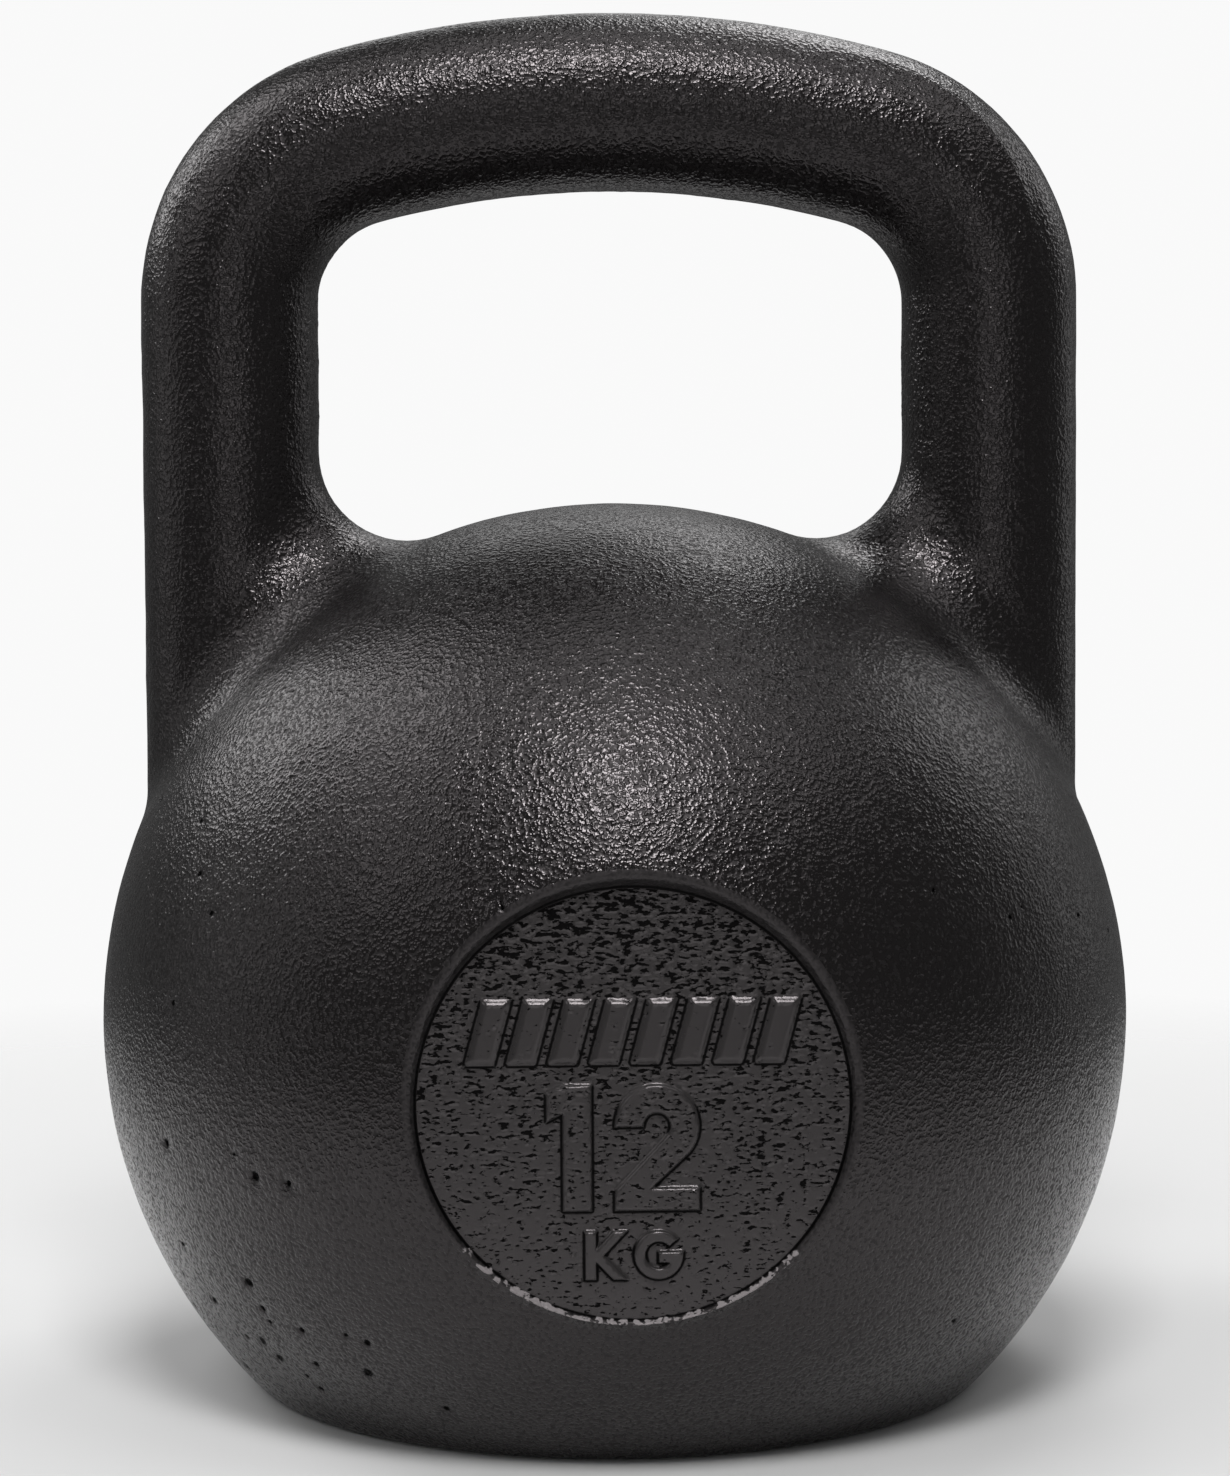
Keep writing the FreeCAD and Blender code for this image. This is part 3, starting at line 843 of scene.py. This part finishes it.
def base_outline():
    """From the ball round to the flat base and in to the edge of the plug's seat."""
    drop = BALL_HEIGHT - BASE_ROUNDING
    centre = math.sqrt((BALL_RADIUS - BASE_ROUNDING) ** 2 - drop**2)
    tilt = math.atan2(-drop, centre)
    outline = []
    for share in (0, 1 / 4, 2 / 4, 3 / 4, 1):
        angle = tilt + (-math.pi / 2 - tilt) * share
        across = centre + BASE_ROUNDING * math.cos(angle)
        outline.append((across, BASE_ROUNDING + BASE_ROUNDING * math.sin(angle)))
    outline += [(centre * share, 0) for share in (0.97, 0.85, 0.7, 0.5, 0.36)]
    outline.append((SEAT_RADIUS + 0.5 * MM, 0))
    return outline


def hollow_outline():
    """Up the plug's seat and thread, over the boss, across the floor and up to the hollow's top."""
    inner = BALL_RADIUS - WALL
    rise = BALL_HEIGHT - BASE_WALL
    reach = math.sqrt(inner**2 - rise**2)
    outline = [
        (SEAT_RADIUS + 0.5 * MM, 0),
        (SEAT_RADIUS, 0.5 * MM),
        (SEAT_RADIUS, SEAT_DEPTH),
        (THREAD_RADIUS, SEAT_DEPTH),
        (THREAD_RADIUS, BOSS_HEIGHT),
        (BOSS_RADIUS, BOSS_HEIGHT),
        (BOSS_RADIUS, BASE_WALL),
        (reach, BASE_WALL),
    ]
    low = -math.asin(rise / inner)
    steps = 20
    for index in range(1, steps):
        angle = low + (math.pi / 2 - low) * index / steps
        outline.append((inner * math.cos(angle), BALL_HEIGHT + inner * math.sin(angle)))
    return outline


# ---------------------------------------------------------------- putting the skin together


class Skin:
    """Points and faces gathered patch by patch, each face with the number of its finish."""

    def __init__(self):
        self.points = []
        self.faces = []
        self.finish = []

    def add(self, points, faces, finish=0):
        start = len(self.points)
        self.points.extend(map(tuple, points))
        self.faces.extend([start + corner for corner in face] for face in faces)
        self.finish.extend([finish] * len(faces))

    def add_rows(self, rows, finish=0):
        """Join rings of equal count with bands of four-sided faces."""
        count = len(rows[0])
        faces = []
        for row in range(len(rows) - 1):
            for index in range(count):
                after = (index + 1) % count
                low = row * count
                high = low + count
                faces.append((low + index, low + after, high + after, high + index))
        self.add(np.vstack(rows), faces, finish)

    def cap(self, ring, tip, finish=0):
        count = len(ring)
        faces = [(index, (index + 1) % count, count) for index in range(count)]
        self.add(np.vstack([ring, [tip]]), faces, finish)


COAT, CRINKLE, BARE, RIM = 0, 1, 2, 3


def casting_mesh(coat):
    skin = Skin()
    bar = bar_rows(coat)
    blends = [blend_rows(bar[0]), blend_rows(bar[-1])]
    skin.add_rows(list(bar))
    for rows in blends:
        skin.add_rows(rows)
    rim = rim_rows()
    skin.add_rows(rim, RIM)
    skin.add(*face_floor(rim[-1]), CRINKLE)
    base = turned_rows(base_outline())
    skin.add_rows(base)
    pits = casting_pits()
    openings = [blends[0][-1], blends[1][-1], rim[0]]
    skin.add(*ball_patch(openings, base[0], pits))
    hollow = turned_rows(hollow_outline())
    for ring in hollow:
        in_ball = ring[:, 2] > BASE_WALL
        ring[in_ball, 1] = np.maximum(ring[in_ball, 1], FACE_WALL - FACE_REACH)
    skin.add_rows(hollow, BARE)
    skin.cap(hollow[-1], (0, 0, BALL_HEIGHT + BALL_RADIUS - WALL), BARE)
    return skin, pits


def weld(piece):
    """Join the patches where their edges meet and turn every face outwards."""
    work = bmesh.new()
    work.from_mesh(piece.data)
    bmesh.ops.remove_doubles(work, verts=work.verts, dist=0.01 * MM)
    bmesh.ops.recalc_face_normals(work, faces=work.faces)
    work.to_mesh(piece.data)
    work.free()


def sink_pits(places, outward, pits):
    """Press the blow holes into the welded skin; give how far each point is in one, from 0 to 1."""
    inside_pit = np.zeros(len(places))
    for place, reach, depth in pits:
        away = np.linalg.norm(places - place, axis=1)
        share = bell_curve(away, 0.8 * reach)
        inside_pit = np.maximum(inside_pit, share)
        places -= outward * (depth * share)[:, None]
    return inside_pit


def shade_marks(places, on_floor):
    """Where painted shadow lies dark along the foot of each mark, and where the paint is smooth on its
    edge or top.
    """
    flat = places[on_floor]
    foot = np.zeros(len(places))
    calm = np.zeros(len(places))
    above = np.array([0, FOOT_SHADOW_WIDTH])
    for number, (mark, slope) in enumerate(mark_outlines()):
        depth = depth_inside(flat, mark)
        # Painted shadow: dark along the foot and sides of each mark and not above it, as the shade of
        # lamps from above falls.
        under_top = (depth_inside(flat + above, mark) - depth) / FOOT_SHADOW_WIDTH
        mark_shadow = bell_curve(depth + slope, FOOT_SHADOW_WIDTH) * smooth(1.6 + 2 * under_top)
        if number < NUMERALS:
            smoothness = bell_curve(depth, 1.3 * slope)
        else:
            smoothness = smooth((depth + 1.4 * slope) / slope)
        foot[on_floor] = np.maximum(foot[on_floor], mark_shadow)
        calm[on_floor] = np.maximum(calm[on_floor], smoothness)
    return foot, calm


def bare_points(mesh, finish):
    """Which points belong to an unpainted face."""
    bare = np.zeros(len(mesh.vertices), bool)
    for face, number in zip(mesh.polygons, finish):
        if number == BARE:
            bare[list(face.vertices)] = True
    return bare


def mark_regions(mesh):
    """Say on each point which part of the skin it is on, where painted shadow and the burr's painted
    highlight lie, and keep each face's finish number.
    """
    count = len(mesh.vertices)
    places = np.zeros(count * 3)
    mesh.vertices.foreach_get("co", places)
    places = places.reshape(-1, 3)
    finish = np.zeros(len(mesh.polygons), int)
    mesh.polygons.foreach_get("material_index", finish)
    bare = bare_points(mesh, finish)
    flat = places[:, [0, 2]] - np.array([0, FACE_HEIGHT])
    from_axis = np.hypot(flat[:, 0], flat[:, 1])
    on_face = (places[:, 1] < -FACE_REACH + MM) & ~bare
    sunk = np.where(on_face, smooth((FACE_RADIUS + 0.3 * MM - from_axis) / (1.2 * MM)), 0)
    foot, calm = shade_marks(flat, sunk > 0)
    # Painted shadow: a dark line round the foot of the sunk face's wall, lifted where the burr's painted
    # highlight lies.
    rim_foot_shadow = bell_curve(from_axis - FACE_RADIUS + 0.1 * MM, FOOT_SHADOW_WIDTH)
    burr = paint_burr_highlight(flat, on_face)
    foot = np.maximum(foot, np.where(on_face, rim_foot_shadow, 0)) * (1 - burr)
    round_face = places[:, 1] < -0.8 * BALL_RADIUS
    lip = np.where(round_face, smooth((from_axis - FACE_RADIUS - 2 * MM) / (6 * MM)), 1)
    cast = np.where(bare, 0, smooth(places[:, 2] / (6 * MM)) * lip)
    # foot carries the painted shadow and burr the place of the painted highlight, for the paints to
    # read.
    values = {"cast": cast, "sunk": sunk, "foot": foot, "calm": calm, "burr": burr}
    for name, numbers in values.items():
        mesh.attributes.new(name, "FLOAT", "POINT").data.foreach_set("value", numbers)
    kinds = mesh.attributes.new("finish", "INT", "FACE")
    kinds.data.foreach_set("value", finish)


def noise_field(tree, position, size, seed, detail=1.0):
    """A smooth random field between about -1 and 1 with lumps of a given size."""
    shifted = add_node(tree, "ShaderNodeVectorMath", operation="ADD")
    tree.links.new(position, shifted.inputs[0])
    shifted.inputs[1].default_value = (seed, seed, seed)
    texture = add_node(tree, "ShaderNodeTexNoise")
    feed(tree, texture, Vector=shifted.outputs[0], Detail=detail)
    feed(tree, texture, Scale=maths(tree, "DIVIDE", 1.0, size))
    return maths(tree, "MULTIPLY_ADD", texture.outputs[0], 2.0, -1.0)


def crinkle_pattern(tree, stretched, size, position, calm):
    """Random lumps, lower near the top of the face, where the paint drew up most, level on marks."""
    lumps = add_node(tree, "ShaderNodeTexNoise")
    feed(tree, lumps, Vector=stretched, Detail=2.0)
    feed(tree, lumps, Scale=maths(tree, "DIVIDE", 1.0, size))
    parts = add_node(tree, "ShaderNodeSeparateXYZ")
    tree.links.new(position, parts.inputs[0])
    above = maths(tree, "SUBTRACT", parts.outputs["Z"], FACE_HEIGHT)
    drop = maths(tree, "MULTIPLY", above, -CRINKLE_SLOPE / FACE_RADIUS)
    pocked = maths(tree, "ADD", lumps.outputs[0], drop)
    return maths(tree, "MULTIPLY_ADD", calm, CALM_RISE, pocked)


def casting_tree():
    """The casting's uneven skin: slow waves all over and flattened crinkles on the sunk face."""
    tree = new_tree(
        "cast_skin",
        [
            ("Wave height", "NodeSocketFloat"),
            ("Wave size", "NodeSocketFloat"),
            ("Ripple height", "NodeSocketFloat"),
            ("Ripple size", "NodeSocketFloat"),
            ("Crinkle depth", "NodeSocketFloat"),
            ("Crinkle size", "NodeSocketFloat"),
            ("Crinkle stretch", "NodeSocketFloat"),
            ("Coat", "NodeSocketMaterial"),
            ("Crinkle paint", "NodeSocketMaterial"),
            ("Bare iron", "NodeSocketMaterial"),
            ("Rim paint", "NodeSocketMaterial"),
        ],
    )
    given = add_node(tree, "NodeGroupInput").outputs
    position = add_node(tree, "GeometryNodeInputPosition").outputs[0]
    normal = add_node(tree, "GeometryNodeInputNormal").outputs[0]
    fields = {}
    for name, kind in (("cast", "FLOAT"), ("sunk", "FLOAT"), ("calm", "FLOAT"), ("finish", "INT")):
        reader = add_node(tree, "GeometryNodeInputNamedAttribute", data_type=kind)
        reader.inputs["Name"].default_value = name
        fields[name] = reader.outputs["Attribute"]
    wave = noise_field(tree, position, given["Wave size"], 0.37)
    wave = maths(tree, "MULTIPLY", wave, given["Wave height"])
    ripple = noise_field(tree, position, given["Ripple size"], 0.81)
    ripple = maths(tree, "MULTIPLY", ripple, given["Ripple height"])
    skin = maths(tree, "MULTIPLY", maths(tree, "ADD", wave, ripple), fields["cast"])

    stretched = add_node(tree, "ShaderNodeVectorMath", operation="DIVIDE")
    lengths = add_node(tree, "ShaderNodeCombineXYZ")
    feed(tree, lengths, X=given["Crinkle stretch"], Y=1.0, Z=1.0)
    tree.links.new(position, stretched.inputs[0])
    tree.links.new(lengths.outputs[0], stretched.inputs[1])
    pocked = crinkle_pattern(tree, stretched.outputs[0], given["Crinkle size"], position, fields["calm"])
    hollow = spread_between(tree, pocked, CRINKLE_LEVEL - 0.04, CRINKLE_LEVEL + 0.02, -1.0, 0.0)
    crinkle = maths(tree, "MULTIPLY", hollow, given["Crinkle depth"])
    crinkle = maths(tree, "MULTIPLY", crinkle, fields["sunk"])

    lift = maths(tree, "ADD", skin, crinkle)
    away = add_node(tree, "ShaderNodeVectorMath", operation="SCALE")
    tree.links.new(normal, away.inputs[0])
    feed(tree, away, Scale=lift)
    moved = add_node(tree, "GeometryNodeSetPosition")
    feed(tree, moved, Geometry=given["Geometry"], Offset=away.outputs[0])
    finishes = []
    painted = ((COAT, "Coat"), (CRINKLE, "Crinkle paint"), (BARE, "Bare iron"), (RIM, "Rim paint"))
    for number, name in painted:
        chosen = add_node(tree, "FunctionNodeCompare", data_type="INT", operation="EQUAL")
        tree.links.new(fields["finish"], chosen.inputs[2])
        chosen.inputs[3].default_value = number
        finishes.append((given[name], chosen.outputs[0]))
    finish_tree(tree, moved.outputs[0], *finishes)
    return tree


def make_bell():
    """The casting's skin: drawn patch by patch, welded, pitted and finished."""
    coat = powder_coat()
    skin, pits = casting_mesh(coat)
    mesh = bpy.data.meshes.new("bell_skin")
    mesh.from_pydata(skin.points, [], skin.faces)
    mesh.polygons.foreach_set("material_index", skin.finish)
    mesh.polygons.foreach_set("use_smooth", [True] * len(skin.faces))
    piece = new_piece("bell_skin", mesh)
    weld(piece)
    mark_regions(piece.data)
    places = np.array([v.co for v in piece.data.vertices])
    outward = np.array([v.normal for v in piece.data.vertices])
    inside_pit = sink_pits(places, outward, pits)
    piece.data.attributes.new("pit", "FLOAT", "POINT").data.foreach_set("value", inside_pit)
    piece.data.vertices.foreach_set("co", places.ravel())
    piece.data.update()
    values = {
        "Wave height": WAVE_HEIGHT,
        "Wave size": WAVE_SIZE,
        "Ripple height": RIPPLE_HEIGHT,
        "Ripple size": RIPPLE_SIZE,
        "Crinkle depth": CRINKLE_DEPTH,
        "Crinkle size": CRINKLE_SIZE,
        "Crinkle stretch": CRINKLE_STRETCH,
        "Coat": coat,
        "Crinkle paint": crinkle_paint(),
        "Bare iron": bare_iron(),
        "Rim paint": rim_paint(),
    }
    piece.data.materials.clear()
    run_tree(piece, casting_tree(), values)
    return piece


# ---------------------------------------------------------------- finishes


def new_material(name, colour, roughness, metallic=0.0, gloss_tint=(1, 1, 1)):
    """A material with one shader whose plain values are set; gives the material, tree and shader."""
    material = bpy.data.materials.new(name)
    material.use_nodes = True
    shader = material.node_tree.nodes["Principled BSDF"]
    shader.inputs["Base Color"].default_value = (*colour, 1)
    shader.inputs["Roughness"].default_value = roughness
    shader.inputs["Metallic"].default_value = metallic
    shader.inputs["Specular Tint"].default_value = (*gloss_tint, 1)
    return material, material.node_tree, shader


def object_position(tree, stretch=(1, 1, 1)):
    place = add_node(tree, "ShaderNodeTexCoord")
    mapping = add_node(tree, "ShaderNodeMapping")
    mapping.inputs["Scale"].default_value = stretch
    tree.links.new(place.outputs["Object"], mapping.inputs["Vector"])
    return mapping.outputs[0]


def grain(tree, position, size, detail=0.0):
    """Random lumps of a given size in metres, from 0 to 1."""
    texture = add_node(tree, "ShaderNodeTexNoise")
    feed(tree, texture, Vector=position, Scale=1 / size, Detail=detail)
    return texture.outputs[0]


def spread_between(tree, value, low, high, at_low, at_high):
    """Map a value that runs from low to high onto another pair of limits, held at both ends."""
    limits = add_node(tree, "ShaderNodeMapRange")
    feed(tree, limits, Value=value, From_Min=low, From_Max=high, To_Min=at_low, To_Max=at_high)
    return limits.outputs[0]


def mix_colours(tree, share, first, second):
    mixer = add_node(tree, "ShaderNodeMix", data_type="RGBA")
    tree.links.new(share, mixer.inputs[0])
    mixer.inputs[6].default_value = (*first, 1)
    mixer.inputs[7].default_value = (*second, 1)
    return mixer.outputs[2]


def bump(tree, height, distance, under=None):
    node = add_node(tree, "ShaderNodeBump")
    feed(tree, node, Strength=1.0, Distance=distance, Height=height)
    if under is not None:
        feed(tree, node, Normal=under)
    return node.outputs[0]


def reading(tree, name):
    """A value that the mesh carries on its points."""
    reader = add_node(tree, "ShaderNodeAttribute", attribute_name=name)
    return reader.outputs["Fac"]


def new_paint(name, colour, roughness):
    # Every paint's gloss carries the warm colour of the lamps, painted in.
    return new_material(name, colour, roughness, gloss_tint=PAINTED_LAMP_WARMTH)


def powder_coat():
    """Black textured powder coat: tiny glossy lumps, all much alike, with dull crevices between; the
    crevices and the blow holes get painted shade.
    """
    material, tree, shader = new_paint("powder_coat", (0.01, 0.01, 0.01), 0.2)
    position = object_position(tree)
    lumps = grain(tree, position, COAT_LUMP, 1.0)
    patches = grain(tree, position, 22 * MM, 2.0)
    swells = bump(tree, grain(tree, position, 2.6 * MM, 1.0), 0.14 * MM)
    feed(tree, shader, Normal=bump(tree, lumps, 0.29 * MM, swells))
    gloss = spread_between(tree, lumps, 0.38, 0.48, 0.45, 0.07)
    feed(tree, shader, Roughness=maths(tree, "MULTIPLY_ADD", patches, 0.12, gloss))
    # Painted shade in the blow holes: their coat goes black with a dulled reflection, ragged at the
    # edge.
    ragged_grain = grain(tree, position, 1.1 * MM, 2.0)
    in_pit = maths(tree, "ADD", reading(tree, "pit"), 0.45)
    pit_edge = maths(tree, "MULTIPLY_ADD", ragged_grain, -0.9, in_pit)
    unshaded_coat = spread_between(tree, pit_edge, 0.22, 0.5, 1.0, 0.0)
    # Painted shade: the crevices between the lumps are blacker than the crests.
    crest = maths(tree, "MULTIPLY", spread_between(tree, lumps, 0.38, 0.5, 0.0, 1.0), unshaded_coat)
    feed(tree, shader, Base_Color=mix_colours(tree, crest, COAT_CREVICE_SHADE, COAT_CREST))
    feed(tree, shader, Specular_IOR_Level=spread_between(tree, unshaded_coat, 0.0, 1.0, 0.03, 0.5))
    return material


def crinkle_paint():
    """The thicker gloss paint of the sunk face, drawn into pocks between flat glossy folds; the pocks
    and the lines along the marks' feet get black painted shade.
    """
    material, tree, shader = new_paint("crinkle_paint", (0.01, 0.01, 0.01), 0.22)
    position = object_position(tree)
    stretched = object_position(tree, (1 / CRINKLE_STRETCH, 1, 1))
    pocked = crinkle_pattern(tree, stretched, CRINKLE_SIZE, position, reading(tree, "calm"))
    folds = spread_between(tree, pocked, CRINKLE_LEVEL - 0.015, CRINKLE_LEVEL + 0.015, 0.0, 1.0)
    unshadowed_floor = spread_between(tree, reading(tree, "foot"), 0.25, 0.75, 1.0, 0.0)
    lit = maths(tree, "MULTIPLY", folds, unshadowed_floor)
    fine = bump(tree, grain(tree, position, 0.35 * MM, 1.0), 0.02 * MM)
    feed(tree, shader, Normal=bump(tree, folds, 0.12 * MM, fine))
    # Painted shade: the pocks and the foot lines go near black, rough and with little reflection.
    feed(tree, shader, Base_Color=mix_colours(tree, lit, PAINT_POCK_SHADE, PAINT_FOLD))
    feed(tree, shader, Roughness=spread_between(tree, lit, 0.0, 1.0, 0.7, 0.24))
    feed(tree, shader, Specular_IOR_Level=spread_between(tree, lit, 0.0, 1.0, 0.1, 0.5))
    return material


def rim_paint():
    """The coat on the edge round the face: a painted shadow line at its foot, a painted highlight on the
    burr low down.
    """
    material, tree, shader = new_paint("rim_paint", (0.02, 0.02, 0.02), 0.38)
    position = object_position(tree)
    lumps = grain(tree, position, COAT_LUMP, 1.0)
    highlight_grain = grain(tree, position, 0.9 * MM, 2.0)
    feed(tree, shader, Normal=bump(tree, lumps, 0.2 * MM))
    # Painted shadow along the foot of the wall: black coat with little reflection.
    unshadowed_band = spread_between(tree, reading(tree, "foot"), 0.2, 0.7, 1.0, 0.0)
    shade = maths(tree, "MULTIPLY", spread_between(tree, lumps, 0.38, 0.5, 0.1, 1.0), unshadowed_band)
    ragged_grain = spread_between(tree, highlight_grain, 0.35, 0.55, 0.1, 1.6)
    # Painted highlight on the burr: flecks of light colour.
    highlight_flecks = maths(tree, "MULTIPLY", reading(tree, "burr"), ragged_grain)
    highlight_share = spread_between(tree, highlight_flecks, 0.3, 0.5, 0.0, 1.0)
    coat_share = maths(tree, "MULTIPLY", shade, RIM_COAT_SHARE)
    light = maths(tree, "MAXIMUM", highlight_share, coat_share)
    feed(tree, shader, Base_Color=mix_colours(tree, light, RIM_DARK, RIM_HIGHLIGHT))
    feed(tree, shader, Specular_IOR_Level=spread_between(tree, unshadowed_band, 0.0, 1.0, 0.05, 0.5))
    return material


def bare_iron():
    """The unpainted inside of the casting."""
    material, tree, shader = new_material("bare_iron", (0.1, 0.09, 0.085), 0.7, 0.6)
    position = object_position(tree)
    rust = spread_between(tree, grain(tree, position, 9 * MM, 4.0), 0.4, 0.65, 0.0, 1.0)
    feed(tree, shader, Base_Color=mix_colours(tree, rust, (0.12, 0.115, 0.11), (0.13, 0.06, 0.03)))
    feed(tree, shader, Normal=bump(tree, grain(tree, position, 1.2 * MM, 3.0), 0.3 * MM))
    return material


def from_axis(tree, position):
    """How far a point is from the upright line through the origin."""
    flat = add_node(tree, "ShaderNodeVectorMath", operation="MULTIPLY")
    tree.links.new(position, flat.inputs[0])
    flat.inputs[1].default_value = (1, 1, 0)
    length = add_node(tree, "ShaderNodeVectorMath", operation="LENGTH")
    tree.links.new(flat.outputs[0], length.inputs[0])
    return length.outputs["Value"]


def zinc_plate():
    """Bright zinc over turned steel: fine rings from the lathe and a cloudy blue and straw tint."""
    material, tree, shader = new_material("zinc_plate", (0.6, 0.61, 0.62), 0.3, 1.0)
    position = object_position(tree)
    radius = from_axis(tree, position)
    rings = maths(tree, "SINE", maths(tree, "MULTIPLY", radius, 2 * math.pi / (0.35 * MM)))
    clouds = grain(tree, position, 7 * MM, 3.0)
    tint = spread_between(tree, clouds, 0.38, 0.62, 0.0, 1.0)
    feed(tree, shader, Base_Color=mix_colours(tree, tint, (0.56, 0.6, 0.66), (0.66, 0.63, 0.54)))
    scuffs = grain(tree, object_position(tree, (1, 6, 1)), 1.6 * MM, 3.0)
    feed(tree, shader, Roughness=spread_between(tree, scuffs, 0.35, 0.65, 0.22, 0.42))
    pores = bump(tree, scuffs, 0.02 * MM)
    feed(tree, shader, Normal=bump(tree, rings, 0.008 * MM, pores))
    return material


def vulcanised_fibre():
    """Hard red paper fibre with a faint felted grain."""
    material, tree, shader = new_material("vulcanised_fibre", (0.25, 0.03, 0.02), 0.6)
    position = object_position(tree)
    felt = grain(tree, position, 0.5 * MM, 4.0)
    shade = spread_between(tree, felt, 0.35, 0.65, 0.0, 1.0)
    feed(tree, shader, Base_Color=mix_colours(tree, shade, (0.17, 0.02, 0.013), (0.33, 0.05, 0.03)))
    feed(tree, shader, Normal=bump(tree, felt, 0.05 * MM))
    return material


def steel_shot():
    """Worn peened steel balls with a brown bloom here and there."""
    material, tree, shader = new_material("steel_shot", (0.4, 0.39, 0.38), 0.4, 1.0)
    position = object_position(tree)
    bloom = spread_between(tree, grain(tree, position, 5 * MM, 4.0), 0.5, 0.68, 0.0, 1.0)
    feed(tree, shader, Base_Color=mix_colours(tree, bloom, (0.42, 0.41, 0.4), (0.2, 0.1, 0.05)))
    feed(tree, shader, Roughness=spread_between(tree, bloom, 0.0, 1.0, 0.3, 0.75))
    feed(tree, shader, Normal=bump(tree, grain(tree, position, 0.9 * MM, 2.0), 0.06 * MM))
    return material


def cast_resin():
    """Poured amber resin, clouded with filler and small bubbles."""
    material, tree, shader = new_material("cast_resin", (0.3, 0.17, 0.05), 0.18)
    position = object_position(tree)
    clouds = spread_between(tree, grain(tree, position, 14 * MM, 4.0), 0.35, 0.65, 0.0, 1.0)
    feed(tree, shader, Base_Color=mix_colours(tree, clouds, (0.2, 0.1, 0.025), (0.38, 0.23, 0.08)))
    bubbles = add_node(tree, "ShaderNodeTexVoronoi")
    feed(tree, bubbles, Vector=position, Scale=1 / (3.5 * MM))
    dimples = spread_between(tree, bubbles.outputs["Distance"], 0.0, 0.25, 0.0, 1.0)
    feed(tree, shader, Normal=bump(tree, dimples, 0.1 * MM))
    return material


def finish_inner_parts():
    """Give the parts that keep their drawn shape their real finishes."""
    finishes = {
        "base_plug": zinc_plate(),
        "plug_washer": vulcanised_fibre(),
        "ballast_shot": steel_shot(),
        "ballast_resin": cast_resin(),
    }
    for name, finish in finishes.items():
        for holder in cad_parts[name].material_slots:
            holder.material = finish


# ---------------------------------------------------------------- stage


def direction(bearing, rise):
    """The way to a place by its bearing from the front towards the right and its height angle."""
    across = math.sin(bearing) * math.cos(rise)
    return Vector((across, -math.cos(bearing) * math.cos(rise), math.sin(rise)))


def add_camera():
    """A camera in front of the bell, a little to its left and above it."""
    bearing = math.radians(VIEW_BEARING)
    roll = math.radians(VIEW_ROLL)
    aim = Vector((0, 0, BALL_HEIGHT + AIM_ABOVE_BALL))
    back = direction(bearing, math.radians(VIEW_RISE))
    right = Vector((math.cos(bearing), math.sin(bearing), 0))
    up = back.cross(right)
    turned_right = right * math.cos(roll) + up * math.sin(roll)
    turned_up = up * math.cos(roll) - right * math.sin(roll)
    data = bpy.data.cameras.new("camera")
    data.sensor_fit = "VERTICAL"
    data.sensor_height = FILM_HEIGHT
    data.lens = LENS
    data.shift_x = LENS_SHIFT
    data.clip_start = 0.01
    camera = bpy.data.objects.new("camera", data)
    rotation = Matrix((turned_right, turned_up, back)).transposed().to_4x4()
    camera.matrix_world = Matrix.Translation(aim + back * VIEW_DISTANCE) @ rotation
    bpy.context.scene.collection.objects.link(camera)
    bpy.context.scene.camera = camera


def add_floor():
    """A plain pale floor that runs out into the white surroundings."""
    low = -0.1 * MM
    mesh = bpy.data.meshes.new("floor")
    corners = [(-1, -1, low), (1, -1, low), (1, 1, low), (-1, 1, low)]
    mesh.from_pydata(corners, [], [(0, 1, 2, 3)])
    sheet = new_piece("floor", mesh)
    material, tree, shader = new_material("floor", (0.8, 0.8, 0.8), 0.9)
    radius = from_axis(tree, object_position(tree))
    gone = spread_between(tree, radius, 0.22, 0.6, 0.0, 1.0)
    clear = add_node(tree, "ShaderNodeBsdfTransparent")
    blend = add_node(tree, "ShaderNodeMixShader")
    tree.links.new(gone, blend.inputs[0])
    tree.links.new(shader.outputs[0], blend.inputs[1])
    tree.links.new(clear.outputs[0], blend.inputs[2])
    tree.links.new(blend.outputs[0], tree.nodes["Material Output"].inputs["Surface"])
    sheet.data.materials.append(material)


def add_softbox(name, bearing, rise, power, width=0.5):
    """A square soft light aimed at the bell, placed by bearing and rise in degrees."""
    way = direction(math.radians(bearing), math.radians(rise))
    lamp = bpy.data.lights.new(name, "AREA")
    lamp.shape = "SQUARE"
    lamp.size = width
    lamp.energy = power
    holder = bpy.data.objects.new(name, lamp)
    facing = way.to_track_quat("Z", "Y").to_matrix().to_4x4()
    holder.matrix_world = Matrix.Translation(LIT_POINT + LAMP_DISTANCE * way) @ facing
    holder.visible_camera = False
    bpy.context.scene.collection.objects.link(holder)


def add_backdrop():
    """White all round for the eye, and only a little light from it on the bell."""
    world = bpy.data.worlds.new("studio")
    bpy.context.scene.world = world
    world.use_nodes = True
    tree = world.node_tree
    ray = add_node(tree, "ShaderNodeLightPath")
    brightness = spread_between(tree, ray.outputs["Is Camera Ray"], 0.0, 1.0, ROOM_LIGHT, BACKDROP_LIGHT)
    feed(tree, tree.nodes["Background"], Color=(1, 1, 1, 1), Strength=brightness)


def add_stage():
    """The floor, the backdrop and the lamps, as name, bearing, rise and power."""
    add_floor()
    add_backdrop()
    add_softbox("key", 0, 53, 7.8, width=0.36)
    add_softbox("top", 0, 85, 1.1)
    add_softbox("front", 0, 8, 0.88)
    add_softbox("left_high", -90, 56, 2.7)
    add_softbox("left", -60, 32, 1.05)
    add_softbox("left_low", -90, 8, 0.5)
    add_softbox("rear_left", -120, 32, 2.5)
    add_softbox("right_high", 60, 56, 1.2)
    add_softbox("rear_right", 120, 32, 1.15)
    add_softbox("rear_right_low", 120, 8, 0.3)
    add_softbox("rear_high", 150, 56, 3.6)
    add_softbox("rear", 180, 32, 0.6)
    bpy.context.scene.view_settings.view_transform = "Standard"


bell = make_bell()
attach(bell, "root")
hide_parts("bell_casting")
finish_inner_parts()
add_camera()
add_stage()
